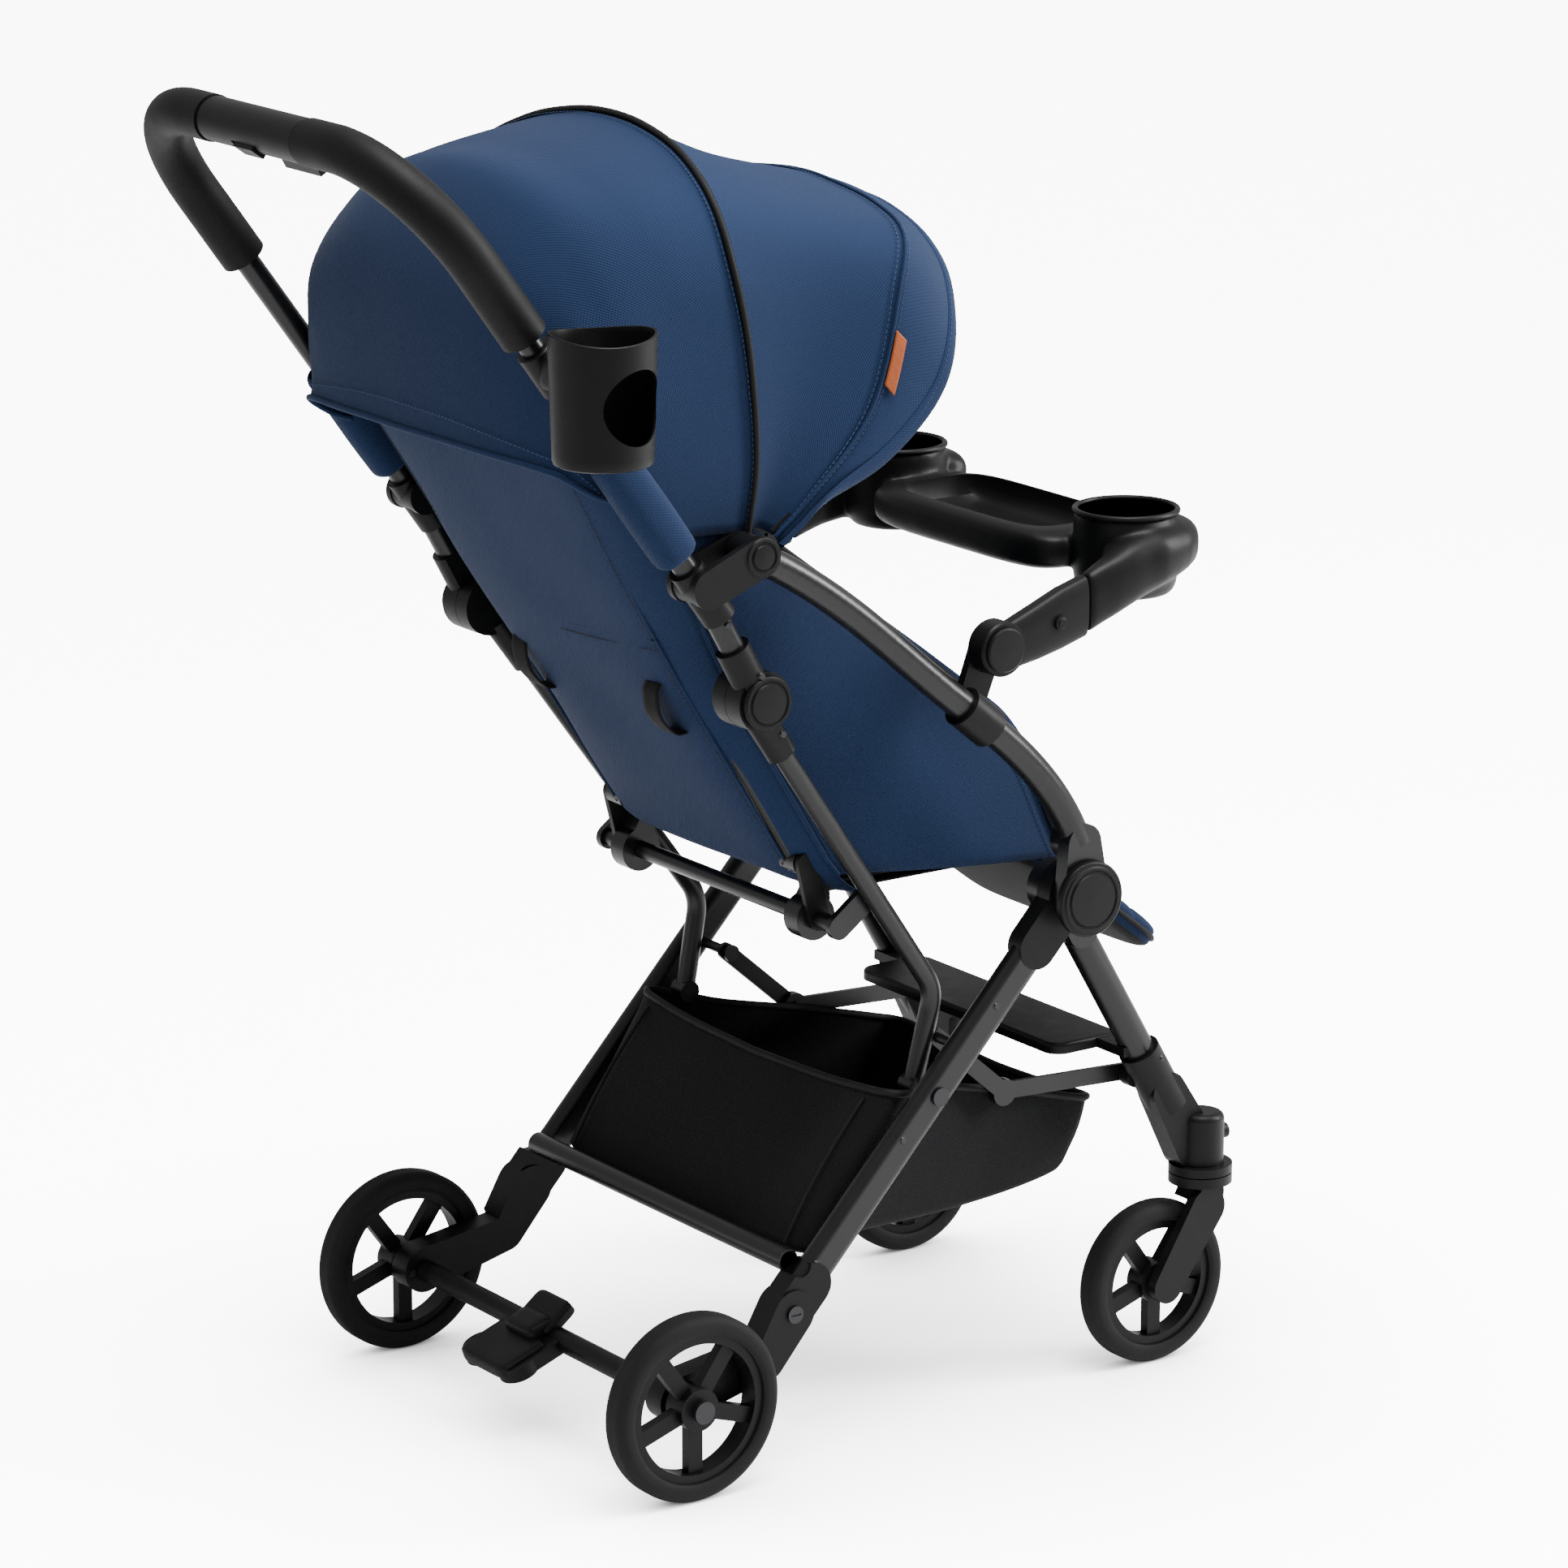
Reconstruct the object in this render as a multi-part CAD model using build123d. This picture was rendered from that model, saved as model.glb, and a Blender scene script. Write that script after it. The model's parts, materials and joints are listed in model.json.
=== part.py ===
from build123d import *
import os
from math import atan2, cos, degrees, hypot, radians, sin

# A folding baby stroller.  Millimetres, +X forward, +Y to the rider's left, +Z up.
# The origin is on the floor, under the middle of the rear axle.
# Side-view points are (x, z) pairs; every side piece is modelled on the left and mirrored.

# ---------------------------------------------------------------- overall sizes
REAR_WHEEL_R = 74.5
FRONT_WHEEL_R = 67.5
RAIL_Y = 198.0              # middle plane of the curved side rails and of the push handle
HANDLE_REACH = 302.0        # push bar, behind the fold hinge
HANDLE_RISE = 432.0         # push bar, above the fold hinge
WHEEL_BASE = 525.0          # rear axle to the front swivel axis
REAR_TRACK_Y = 209.5        # middle of a rear wheel
FRONT_TRACK_Y = 168.0       # middle of a front wheel

# ---------------------------------------------------------------- tubes and walls
RAIL_R = 12.0
HANDLE_R = 9.5
LOWER_R = 8.0
FRONT_LEG_R = 13.0
REAR_LEG_DEPTH = 30.0
REAR_LEG_THICK = 16.0
CROSS_R = 9.0
SEAT_TUBE_R = 7.0
TUBE_WALL = 1.5
GRIP_R = 18.0
SLEEVE_WALL = 4.0
PLATE = 6.0

# ---------------------------------------------------------------- fits and clearances
RUNNING = 0.05              # radial clearance of a pin in its bore
GAP = 1.0                   # between plates that turn past each other
PIN_R = 4.0
AXLE_R = 4.0
BRAKE_PIN_R = 3.0

# ---------------------------------------------------------------- cups and tray
CUP_BORE_R = 38.0
CUP_DEPTH = 62.0
CUP_WALL = 3.5
TRAY_CUP_Y = 153.0
PARENT_CUP_R = 35.0
PARENT_CUP_DEPTH = 96.0
TRAY_BUTTON_R = 6.0

# ---------------------------------------------------------------- seat and cloth
SEAT_HALF_WIDTH = 128.0
SEAT_LENGTH = 205.0
CUSHION_THICK = 34.0
BACK_LENGTH = 430.0
PAD_THICK = 30.0
FOOTREST_LENGTH = 150.0
FOOTREST_THICK = 20.0
CANOPY_CROWN = 300.0        # canopy pivot to the crown of a bow
CANOPY_HALF_WIDTH = 176.0
CLOTH = 3.0
BASKET_HALF_WIDTH = 126.0

# ---------------------------------------------------------------- pivots, side view
AXLE_Z = REAR_WHEEL_R
HUB = (376.0, AXLE_Z + 341.5)            # legs and side rail meet
REAR_PIVOT = (245.0, AXLE_Z + 198.5)     # lower push tube on the rear leg
HINGE = (70.0, AXLE_Z + 543.5)           # push handle folds on the lower push tube
RAIL_TOP = (62.5, AXLE_Z + 657.5)        # side rail meets the push handle
TRAY_PIVOT = (294.0, AXLE_Z + 552.5)
SEAT_PIVOT = (172.0, AXLE_Z + 340.5)
REAR_FOOT = (104.0, AXLE_Z + 49.5)       # rear leg enters its casting
CROSS_TUBE = (112.0, AXLE_Z + 86.0)
STRUT_REAR = (277.6, AXLE_Z + 229.1)
STRUT_KNEE = (344.0, AXLE_Z + 171.5)
STEM_BOTTOM = 2 * FRONT_WHEEL_R + 19.0   # underside of the fixed swivel socket
STEM_TOP = STEM_BOTTOM + 50.0
FRONT_FOOT = (WHEEL_BASE - 46.0, STEM_BOTTOM + 88.0)
STRUT_FRONT = (FRONT_FOOT[0] - 12.0, FRONT_FOOT[1] - 2.0)
CASTER_TRAIL = 46.0
BAR = (HINGE[0] - HANDLE_REACH, HINGE[1] + HANDLE_RISE)

# ---------------------------------------------------------------- side planes, inside out
REAR_LEG_Y = RAIL_Y - 12.0
LEG_IN = REAR_LEG_Y - REAR_LEG_THICK / 2
LEG_OUT = REAR_LEG_Y + REAR_LEG_THICK / 2
FRONT_LEG_Y = LEG_IN - GAP - FRONT_LEG_R
LOWER_TOP_Y = RAIL_Y - HANDLE_R - GAP - LOWER_R
LOWER_Y = LEG_IN - 3 * GAP - 9.0 - LOWER_R
STRUT_OUT = LOWER_Y - LOWER_R - 2 * GAP
STRUT_IN = STRUT_OUT - 8.0
RAIL_END_IN = LEG_OUT + GAP + 0.5
RAIL_END_OUT = RAIL_Y + 11.0
RAIL_IN = RAIL_Y - RAIL_R
SWIVEL_Y = FRONT_LEG_Y + 8.0
FORK_IN = FRONT_TRACK_Y + 14.0
FORK_OUT = FORK_IN + 9.0

NODES = {}


# ---------------------------------------------------------------- helpers
def between(a, b, share):
    return (a[0] + (b[0] - a[0]) * share, a[1] + (b[1] - a[1]) * share)


def along(a, b, distance):
    return between(a, b, distance / hypot(b[0] - a[0], b[1] - a[1]))


def slope(a, b):
    return degrees(atan2(b[1] - a[1], b[0] - a[0]))


def polar(centre, radius, angle):
    return (centre[0] + radius * cos(radians(angle)), centre[1] + radius * sin(radians(angle)))


def plate(sketch, y0, y1):
    """Side-view sketch given thickness from y0 to y1."""
    return extrude(Plane.XZ.offset(-y0) * sketch, -(y1 - y0))


def disc(centre, radius, y0, y1):
    return plate(Pos(*centre) * Circle(radius), y0, y1)


def link(a, b, radius, y0, y1):
    """Flat bar with round ends centred on a and b."""
    length = hypot(b[0] - a[0], b[1] - a[1])
    shape = Pos(*between(a, b, 0.5)) * Rot(0, 0, slope(a, b)) * SlotCenterToCenter(length, 2 * radius)
    return plate(shape, y0, y1)


def taper(a, ra, b, rb, y0, y1):
    """Flat bar whose round ends differ in size."""
    ends = Curve() + (Pos(*a) * Circle(ra)).edges() + (Pos(*b) * Circle(rb)).edges()
    return plate(make_hull(ends.edges()), y0, y1)


def sweep_round(path, radius):
    return sweep(Plane(origin=path @ 0, z_dir=path % 0) * Circle(radius), path=path)


def route(points, bend):
    if len(points) == 2:
        return Line(*points)
    return FilletPolyline(*points, radius=bend)


def rod(points, radius, bend=1.0):
    return sweep_round(route(points, bend), radius)


def at(point, y):
    return (point[0], y, point[1])


def other(shape):
    return mirror(shape, about=Plane.XZ)


def node(name, *shapes):
    NODES.setdefault(name, []).extend(shapes)


def pair(name, shape):
    node(name, shape, other(shape))


def left_right(name, shape):
    node(name + "_left", shape)
    node(name + "_right", other(shape))


# ---------------------------------------------------------------- details of each group
BRAKE_RING_R = 12.5
BRAKE_HOLES = 12
REAR_WHEEL_WIDTH = 26.0
FRONT_WHEEL_WIDTH = 24.0
REAR_AXLE = (0.0, AXLE_Z)
FRONT_AXLE = (WHEEL_BASE - CASTER_TRAIL, FRONT_WHEEL_R)
WHEEL_GAP = 2.0
CAST_OUT = REAR_TRACK_Y - REAR_WHEEL_WIDTH / 2 - WHEEL_GAP
CAST_IN = CAST_OUT - 21.0
HUB_R = 26.0
COVER_R = 30.5
BRAKE_PIN_PLACE = polar(REAR_AXLE, BRAKE_RING_R, 180.0)
BRAKE_TUBE_R = 9.0
FOOT_BOARD = (FRONT_FOOT[0] - 42.0, FRONT_FOOT[1] + 20.0)
FOOT_BOARD_DEPTH = 68.0
STEM_PIN_R = 6.0
STEM_FRONT = 18.0
LOCK_R = 6.5
LOCK_Z = (STEM_BOTTOM + STEM_TOP) / 2 + 4.0
RAIL_START = polar(HUB, 44.0, 93.0)
RAIL_BENDS = [polar(HUB, 81.0, 105.0), polar(HUB, 145.0, 117.0), polar(HUB, 230.0, 126.0),
              polar(HUB, 322.0, 130.0)]
TRAY_FRONT = (TRAY_PIVOT[0] + 223.0, TRAY_PIVOT[1] + 34.0)
TRAY_ARM_END = (TRAY_PIVOT[0] + 74.0, TRAY_PIVOT[1] + 22.0)
TRAY_STUD = (TRAY_PIVOT[0] + 54.0, TRAY_PIVOT[1] + 14.0)
CUP_CENTRE_X = TRAY_PIVOT[0] + 160.0
CUP_RIM_Z = TRAY_PIVOT[1] + 84.0
ARM_THICK = 18.0
LOWER_BEND = (262.0, AXLE_Z + 275.0)
SEAT_Z = SEAT_PIVOT[1] + 24.0
BACK_PIVOT = (SEAT_PIVOT[0] - 12.0, SEAT_PIVOT[1] + 47.0)
BACK_ANGLE = 121.5
SEAT_FRONT = (SEAT_PIVOT[0] + SEAT_LENGTH, SEAT_Z)
SIDE_PANEL_Y = LOWER_Y - LOWER_R - 3.0 * GAP - CLOTH
BUCKLE_BUTTON_R = 9.0
FOOTREST_SLOPE = -38.0
FOOTREST_PIVOT = (SEAT_FRONT[0] + 12.0, SEAT_FRONT[1] - 2.0)
HANDLE_LOW = (HINGE[0] - 8.0, HINGE[1] + 16.0)
HANDLE_BEND = (HINGE[0] - 46.0, HINGE[1] + 84.0)
HOUSING_HALF = 68.0
GRIP_LENGTH = 164.0
HANDLE_BEND_R = 98.0
TRIGGER_LENGTH = 50.0
BUTTON_WIDTH = 13.0
BUTTON_LENGTH = 26.0
CANOPY_OUT = RAIL_IN - 2 * GAP - PLATE
CANOPY_IN = CANOPY_OUT - 14.0
CUP_CLIP_DROP = 196.0
CANOPY_PIVOT = RAIL_TOP
MID_BOW_ANGLE = 90.0
FRONT_BOW_ANGLE = 52.0
VISOR_ANGLE = 35.0
REAR_EDGE_ANGLE = 128.0
BOW_R = 3.5


# ---------------------------------------------------------------- wheels
def wheel(centre, mid_y, radius, width, spokes, ring_holes, brake_side):
    """Five-spoke wheel: rim with hub and spokes, and a tyre around it."""
    tyre_in = radius - 15.0
    rim_in = tyre_in - 7.0
    hub_r = 17.0
    crown = Pos(radius - 9.0, 0) * RectangleRounded(18.0, width, 8.0)
    seat = Pos(tyre_in + 2.0, 0) * Rectangle(4.0, width - 8.0)
    profile = (crown + seat) - Pos(tyre_in - 10.0, 0) * Rectangle(20.0, width)
    tyre = revolve(Plane.XY * profile, Axis.Y)
    hub_width = width - 4.0
    rim = Rot(90, 0, 0) * (Cylinder(tyre_in, width - 8.0) - Cylinder(rim_in, width))
    rim += Rot(90, 0, 0) * Cylinder(hub_r, hub_width)
    for turn in range(spokes):
        spoke = Pos((hub_r + rim_in) / 2, 0, 0) * Box(rim_in - hub_r + 8.0, 9.0, 13.0)
        rim += Rot(0, 360.0 / spokes * turn + 18.0, 0) * spoke
    rim -= Rot(90, 0, 0) * Cylinder(AXLE_R + RUNNING, 2 * width)
    for turn in range(ring_holes):
        hole = Pos(BRAKE_RING_R, brake_side * hub_width / 2, 0) * Rot(90, 0, 0) * Cylinder(
            BRAKE_PIN_R + 0.8, 14.0)
        rim -= Rot(0, 360.0 / ring_holes * turn, 0) * hole
    place = Pos(centre[0], mid_y, centre[1])
    return place * rim, place * tyre


def build_wheels():
    rim, tyre = wheel(REAR_AXLE, REAR_TRACK_Y, REAR_WHEEL_R, REAR_WHEEL_WIDTH, 5, BRAKE_HOLES, -1)
    left_right("rear_rim", rim)
    left_right("rear_tyre", tyre)
    rim, tyre = wheel(FRONT_AXLE, FRONT_TRACK_Y, FRONT_WHEEL_R, FRONT_WHEEL_WIDTH, 5, 0, 1)
    left_right("front_rim", rim)
    left_right("front_tyre", tyre)


# ---------------------------------------------------------------- rear frame


def build_rear_frame():
    leg_start = along(REAR_FOOT, HUB, -14.0)
    leg_end = along(HUB, REAR_FOOT, HUB_R + 4.0)
    length = hypot(leg_end[0] - leg_start[0], leg_end[1] - leg_start[1])
    oval = SlotOverall(REAR_LEG_DEPTH, REAR_LEG_THICK)
    lean = Pos(leg_start[0], REAR_LEG_Y, leg_start[1]) * Rot(0, 90.0 - slope(REAR_FOOT, HUB), 0)
    solid_leg = lean * extrude(oval, length)
    hollow = lean * extrude(offset(oval, -TUBE_WALL), length)
    pair("rear_legs", solid_leg - hollow)

    knuckle = disc(HUB, HUB_R, LEG_IN + 0.5, LEG_OUT + 0.5)
    collar = link(
        along(HUB, REAR_FOOT, 8.0), along(HUB, REAR_FOOT, 52.0), 18.0, LEG_IN - 0.5, LEG_OUT + 0.5)
    knuckle = knuckle + collar - solid_leg - disc(HUB, PIN_R, LEG_IN - 9, LEG_OUT + 9)
    pair("hub_knuckles", knuckle)

    cover = disc(HUB, COVER_R, RAIL_END_OUT + GAP, RAIL_END_OUT + GAP + 6.0)
    cover = fillet(cover.faces().sort_by(Axis.Y)[-1].edges(), 2.0)
    groove = disc(HUB, 21.0, RAIL_END_OUT + GAP + 4.5, RAIL_END_OUT + 20) - disc(
        HUB, 18.5, RAIL_END_OUT, RAIL_END_OUT + 30)
    cover = cover - groove - disc(HUB, PIN_R, 0, RAIL_END_OUT + GAP + 3.0)
    pair("hub_covers", cover)

    hub_pin = disc(HUB, PIN_R, FRONT_LEG_Y - FRONT_LEG_R, RAIL_END_OUT + GAP + 3.0)
    hub_pin = hub_pin + disc(HUB, 8.0, FRONT_LEG_Y - FRONT_LEG_R - 3.0, FRONT_LEG_Y - FRONT_LEG_R)
    rear_pin = disc(REAR_PIVOT, 7.5, LEG_OUT, LEG_OUT + 2.5)
    strut_pin = disc(STRUT_REAR, PIN_R, STRUT_IN - 2.0, LEG_IN)
    strut_pin = strut_pin + disc(STRUT_REAR, 7.0, STRUT_IN - 4.0, STRUT_IN - 2.0)
    foot_screw = disc(REAR_FOOT, 7.0, LEG_OUT + 4.0, LEG_OUT + 6.0) - plate(
        Pos(*REAR_FOOT) * Rectangle(9.0, 1.6), LEG_OUT + 5.0, LEG_OUT + 9.0)
    for piece in (hub_pin, rear_pin, strut_pin, foot_screw):
        pair("axle_and_pins", piece)

    cross = rod([at(CROSS_TUBE, LEG_IN), at(CROSS_TUBE, -LEG_IN)], CROSS_R)
    cross = cross - rod([at(CROSS_TUBE, LEG_IN), at(CROSS_TUBE, -LEG_IN)], CROSS_R - TUBE_WALL)
    node("rear_cross_tube", cross)

    knuckle = (REAR_FOOT[0] - 24.0, REAR_FOOT[1] - 34.0)
    casting = taper(REAR_FOOT, 19.0, knuckle, 15.0, CAST_IN, LEG_OUT + 4.0)
    casting += link(
        along(REAR_FOOT, HUB, 2.0), along(REAR_FOOT, HUB, 26.0), 18.5, LEG_IN - 2.5, LEG_OUT + 2.0)
    casting = casting + taper(knuckle, 15.0, REAR_AXLE, 19.0, CAST_IN, CAST_OUT)
    casting -= disc(REAR_AXLE, REAR_WHEEL_R + 4.0, CAST_OUT, CAST_OUT + 40.0)
    casting -= solid_leg
    casting -= disc(REAR_AXLE, AXLE_R, 0, 400.0)
    casting -= disc(BRAKE_PIN_PLACE, BRAKE_PIN_R + RUNNING, 0, 400.0)
    casting -= cylinder_cut(CROSS_TUBE, CROSS_R)
    pair("rear_castings", casting)

    axle_end = REAR_TRACK_Y + REAR_WHEEL_WIDTH / 2 + 2.0
    axle = rod([(0, -axle_end, AXLE_Z), (0, axle_end, AXLE_Z)], AXLE_R)
    for y in (axle_end, -axle_end - 3.0):
        axle += disc(REAR_AXLE, 9.0, y, y + 3.0)
    node("axle_and_pins", axle)


def cylinder_cut(centre, radius):
    return disc(centre, radius, -400.0, 400.0)


# ---------------------------------------------------------------- shopping basket
def build_basket():
    back_top = (207.0, AXLE_Z + 198.0)
    back_low = (CROSS_TUBE[0] + CROSS_R + 8.0, CROSS_TUBE[1] - 6.0)
    front_low = (FRONT_FOOT[0] - 64.0, AXLE_Z + 79.0)
    front_top = (FRONT_FOOT[0] - 36.0, AXLE_Z + 142.0)
    outer = plate(make_face(Polyline(back_top, back_low, front_low, front_top, close=True)),
                  -BASKET_HALF_WIDTH, BASKET_HALF_WIDTH)
    hollow = Polyline(
        (back_top[0] + 2 * CLOTH, back_top[1] + 60.0),
        (back_low[0] + 2 * CLOTH, back_low[1] + CLOTH),
        (front_low[0] - CLOTH, front_low[1] + CLOTH),
        (front_top[0] - CLOTH, front_top[1] + 60.0),
        close=True)
    inner = plate(make_face(hollow), -BASKET_HALF_WIDTH + CLOTH, BASKET_HALF_WIDTH - CLOTH)
    node("basket", outer - inner)


# ---------------------------------------------------------------- foot brake


def build_brake():
    half = CAST_IN - 2.0
    bar = disc(REAR_AXLE, BRAKE_TUBE_R, -half, half)
    outline = Pos(-22, 0) * RectangleRounded(48, 74, 8)
    for side in (1, -1):
        outline = outline + Pos(-42, side * 24) * Circle(16)
    pedal = Pos(0, 0, AXLE_Z) * Rot(0, -20, 0) * extrude(outline, 6.0, both=True)
    bar = bar + pedal - disc(REAR_AXLE, AXLE_R + RUNNING, -half - 9, half + 9)
    node("brake_bar", bar)
    start = CAST_IN - 1.0
    pin = disc(BRAKE_PIN_PLACE, BRAKE_PIN_R, start, CAST_OUT + 0.5)
    left_right("brake_pin", pin)


# ---------------------------------------------------------------- front frame
def build_front_frame():
    knuckle_in = FRONT_LEG_Y - FRONT_LEG_R
    start = along(HUB, FRONT_FOOT, 30.0)
    end = along(FRONT_FOOT, HUB, -12.0)
    leg = rod([at(start, FRONT_LEG_Y), at(end, FRONT_LEG_Y)], FRONT_LEG_R)
    bore = rod([at(along(start, end, 14.0), FRONT_LEG_Y), at(end, FRONT_LEG_Y)], FRONT_LEG_R - TUBE_WALL)
    ear = link(HUB, along(HUB, FRONT_FOOT, 44.0), FRONT_LEG_R + 1.5, knuckle_in + 9.0, LEG_IN - 0.5)
    leg = leg + disc(HUB, 22.0, knuckle_in + 9.0, LEG_IN - 0.5) + ear
    leg -= bore
    leg -= disc(HUB, PIN_R + RUNNING, 0, 400.0)
    pair("front_legs", leg)

    swivel = Pos(WHEEL_BASE, SWIVEL_Y, 0)
    socket = swivel * Pos(0, 0, STEM_BOTTOM) * extrude(Circle(19.0), STEM_TOP - STEM_BOTTOM)
    socket = fillet(socket.edges().group_by(Axis.Z)[-1], 6.0)
    foot = front_sleeve(FRONT_LEG_R + SLEEVE_WALL)
    web = taper(along(FRONT_FOOT, HUB, -16.0), 16.0, (WHEEL_BASE - 8.0, STEM_BOTTOM + 22.0), 20.0,
                FRONT_LEG_Y - 8.0, FRONT_LEG_Y + 14.0)
    flange = swivel * Pos(0, 0, STEM_BOTTOM) * extrude(Circle(26.0), 7.0)
    socket = socket + foot + web + flange
    socket -= front_leg_core()
    socket -= Pos(WHEEL_BASE, SWIVEL_Y, STEM_BOTTOM - 20.0) * extrude(Circle(200.0), 20.0)
    socket -= swivel * Pos(0, 0, STEM_BOTTOM) * extrude(Circle(STEM_PIN_R + RUNNING), 34.0)
    socket -= swivel * Pos(STEM_FRONT, 0, LOCK_Z) * Rot(0, 90, 0) * Cylinder(LOCK_R + RUNNING, 24.0)
    socket += disc(STRUT_FRONT, 9.0, STRUT_OUT + GAP, FRONT_LEG_Y - 4.0) - front_leg_core()
    pair("front_sockets", socket)

    half = STRUT_IN - 5.0
    outline = RectangleRounded(FOOT_BOARD_DEPTH, 2 * half, 14.0)
    board = Pos(FOOT_BOARD[0], 0, FOOT_BOARD[1]) * extrude(outline, 9.0)
    board = fillet(board.edges().group_by(Axis.Z)[-1], 3.0)
    for side in (1, -1):
        lug_x = FOOT_BOARD[0] + FOOT_BOARD_DEPTH / 2 - 14.0
        lug = Pos(lug_x, side * (half + FRONT_LEG_Y) / 2, FOOT_BOARD[1] + 4.0)
        board += lug * Box(22.0, FRONT_LEG_Y - half + 12.0, 8.0)
    sleeve = front_sleeve(FRONT_LEG_R + SLEEVE_WALL)
    board -= front_leg_core() + sleeve
    board -= other(front_leg_core() + sleeve)
    node("foot_board", board)

    button = swivel * Pos(STEM_FRONT + 1.0, 0, LOCK_Z) * Rot(0, 90, 0) * Cylinder(LOCK_R, 12.0)
    left_right("swivel_lock", button)


def front_sleeve(radius):
    top = along(FRONT_FOOT, HUB, 26.0)
    low = along(FRONT_FOOT, HUB, -34.0)
    return rod([at(top, FRONT_LEG_Y), at(low, FRONT_LEG_Y)], radius)


def front_leg_core():
    return rod([at(HUB, FRONT_LEG_Y), at(along(FRONT_FOOT, HUB, -12.0), FRONT_LEG_Y)], FRONT_LEG_R)


def build_casters():
    swivel = Pos(WHEEL_BASE, SWIVEL_Y, 0)
    top = STEM_BOTTOM - GAP
    head = swivel * Pos(0, 0, top - 8.0) * extrude(Circle(26.0), 8.0)
    stem = swivel * Pos(0, 0, top - 8.0) * extrude(Circle(STEM_PIN_R), 40.0)
    drop = (WHEEL_BASE - 6.0, top - 26.0)
    arm = taper(drop, 17.0, FRONT_AXLE, 14.0, FORK_IN, FORK_OUT)
    neck = taper((WHEEL_BASE - 2.0, top - 14.0), 12.0, drop, 14.0, SWIVEL_Y - 10.0, FORK_OUT)
    neck -= disc(FRONT_AXLE, FRONT_WHEEL_R + 4.0, -400.0, FORK_IN)
    axle = disc(FRONT_AXLE, AXLE_R, FRONT_TRACK_Y - FRONT_WHEEL_WIDTH / 2 - 2.0, FORK_IN)
    end = disc(FRONT_AXLE, 8.0, FRONT_TRACK_Y - FRONT_WHEEL_WIDTH / 2 - 5.0,
               FRONT_TRACK_Y - FRONT_WHEEL_WIDTH / 2 - 2.0)
    fork = head + stem + arm + neck + axle + end
    left_right("caster_fork", fork)


# ---------------------------------------------------------------- folding struts
def build_struts():
    half = (STRUT_IN + STRUT_OUT) / 2
    rear = link(STRUT_REAR, STRUT_KNEE, 7.0, half + 0.3, STRUT_OUT)
    rear += disc(STRUT_KNEE, 11.0, half + 0.3, STRUT_OUT)
    rear = rear - disc(STRUT_REAR, PIN_R + RUNNING, 0, 400.0) - disc(STRUT_KNEE, PIN_R, 0, 400.0)
    rear += disc(STRUT_KNEE, PIN_R, STRUT_IN - 2.0, STRUT_OUT)
    pair("strut_rear", rear)
    front = link(STRUT_KNEE, STRUT_FRONT, 7.0, STRUT_IN, half - 0.3)
    front += disc(STRUT_KNEE, 11.0, STRUT_IN, half - 0.3)
    front = front - disc(STRUT_KNEE, PIN_R + RUNNING, 0, 400.0)
    front += disc(STRUT_FRONT, 6.0, STRUT_IN - 2.0, STRUT_IN)
    pair("strut_front", front)


# ---------------------------------------------------------------- curved side rails


def build_side_rails():
    pts = [RAIL_START] + RAIL_BENDS + [RAIL_TOP]
    path = Spline([at(p, RAIL_Y) for p in pts])
    rail = sweep_round(path, RAIL_R)
    rail -= sweep_round(path, RAIL_R - TUBE_WALL)
    rail += rail_end(RAIL_TOP, RAIL_R + 2.0)
    rail -= disc(RAIL_TOP, PIN_R + RUNNING, 0, 400.0)
    flat = taper(HUB, 22.0, RAIL_START, 16.0, RAIL_END_IN, RAIL_END_OUT)
    cup = disc(RAIL_START, RAIL_R + 4.0, RAIL_IN - 1.5, RAIL_END_OUT)
    rail = rail + flat + cup
    rail -= disc(HUB, PIN_R + RUNNING, 0, 400.0)
    pair("side_rails", rail)

    clamp_at = tray_clamp_point()
    ring_dir = slope(RAIL_BENDS[1], RAIL_BENDS[2])
    clamp_place = Pos(clamp_at[0], RAIL_Y, clamp_at[1]) * Rot(0, 90.0 - ring_dir, 0)
    clamp = clamp_place * Cylinder(RAIL_R + 4.5, 34.0)
    post = taper(clamp_at, 13.0, TRAY_PIVOT, 14.0, RAIL_Y - 17.0, RAIL_Y - 9.5)
    clamp = clamp + post
    clamp -= sweep_round(path, RAIL_R)
    clamp += disc(TRAY_PIVOT, PIN_R, RAIL_Y - 12.0, RAIL_Y + 9.0)
    pair("tray_clamps", clamp)


def tray_clamp_point():
    return between(RAIL_BENDS[1], RAIL_BENDS[2], 0.52)


def rail_end(centre, radius):
    return disc(centre, radius, RAIL_IN, RAIL_END_OUT)


# ---------------------------------------------------------------- child's tray


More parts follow.
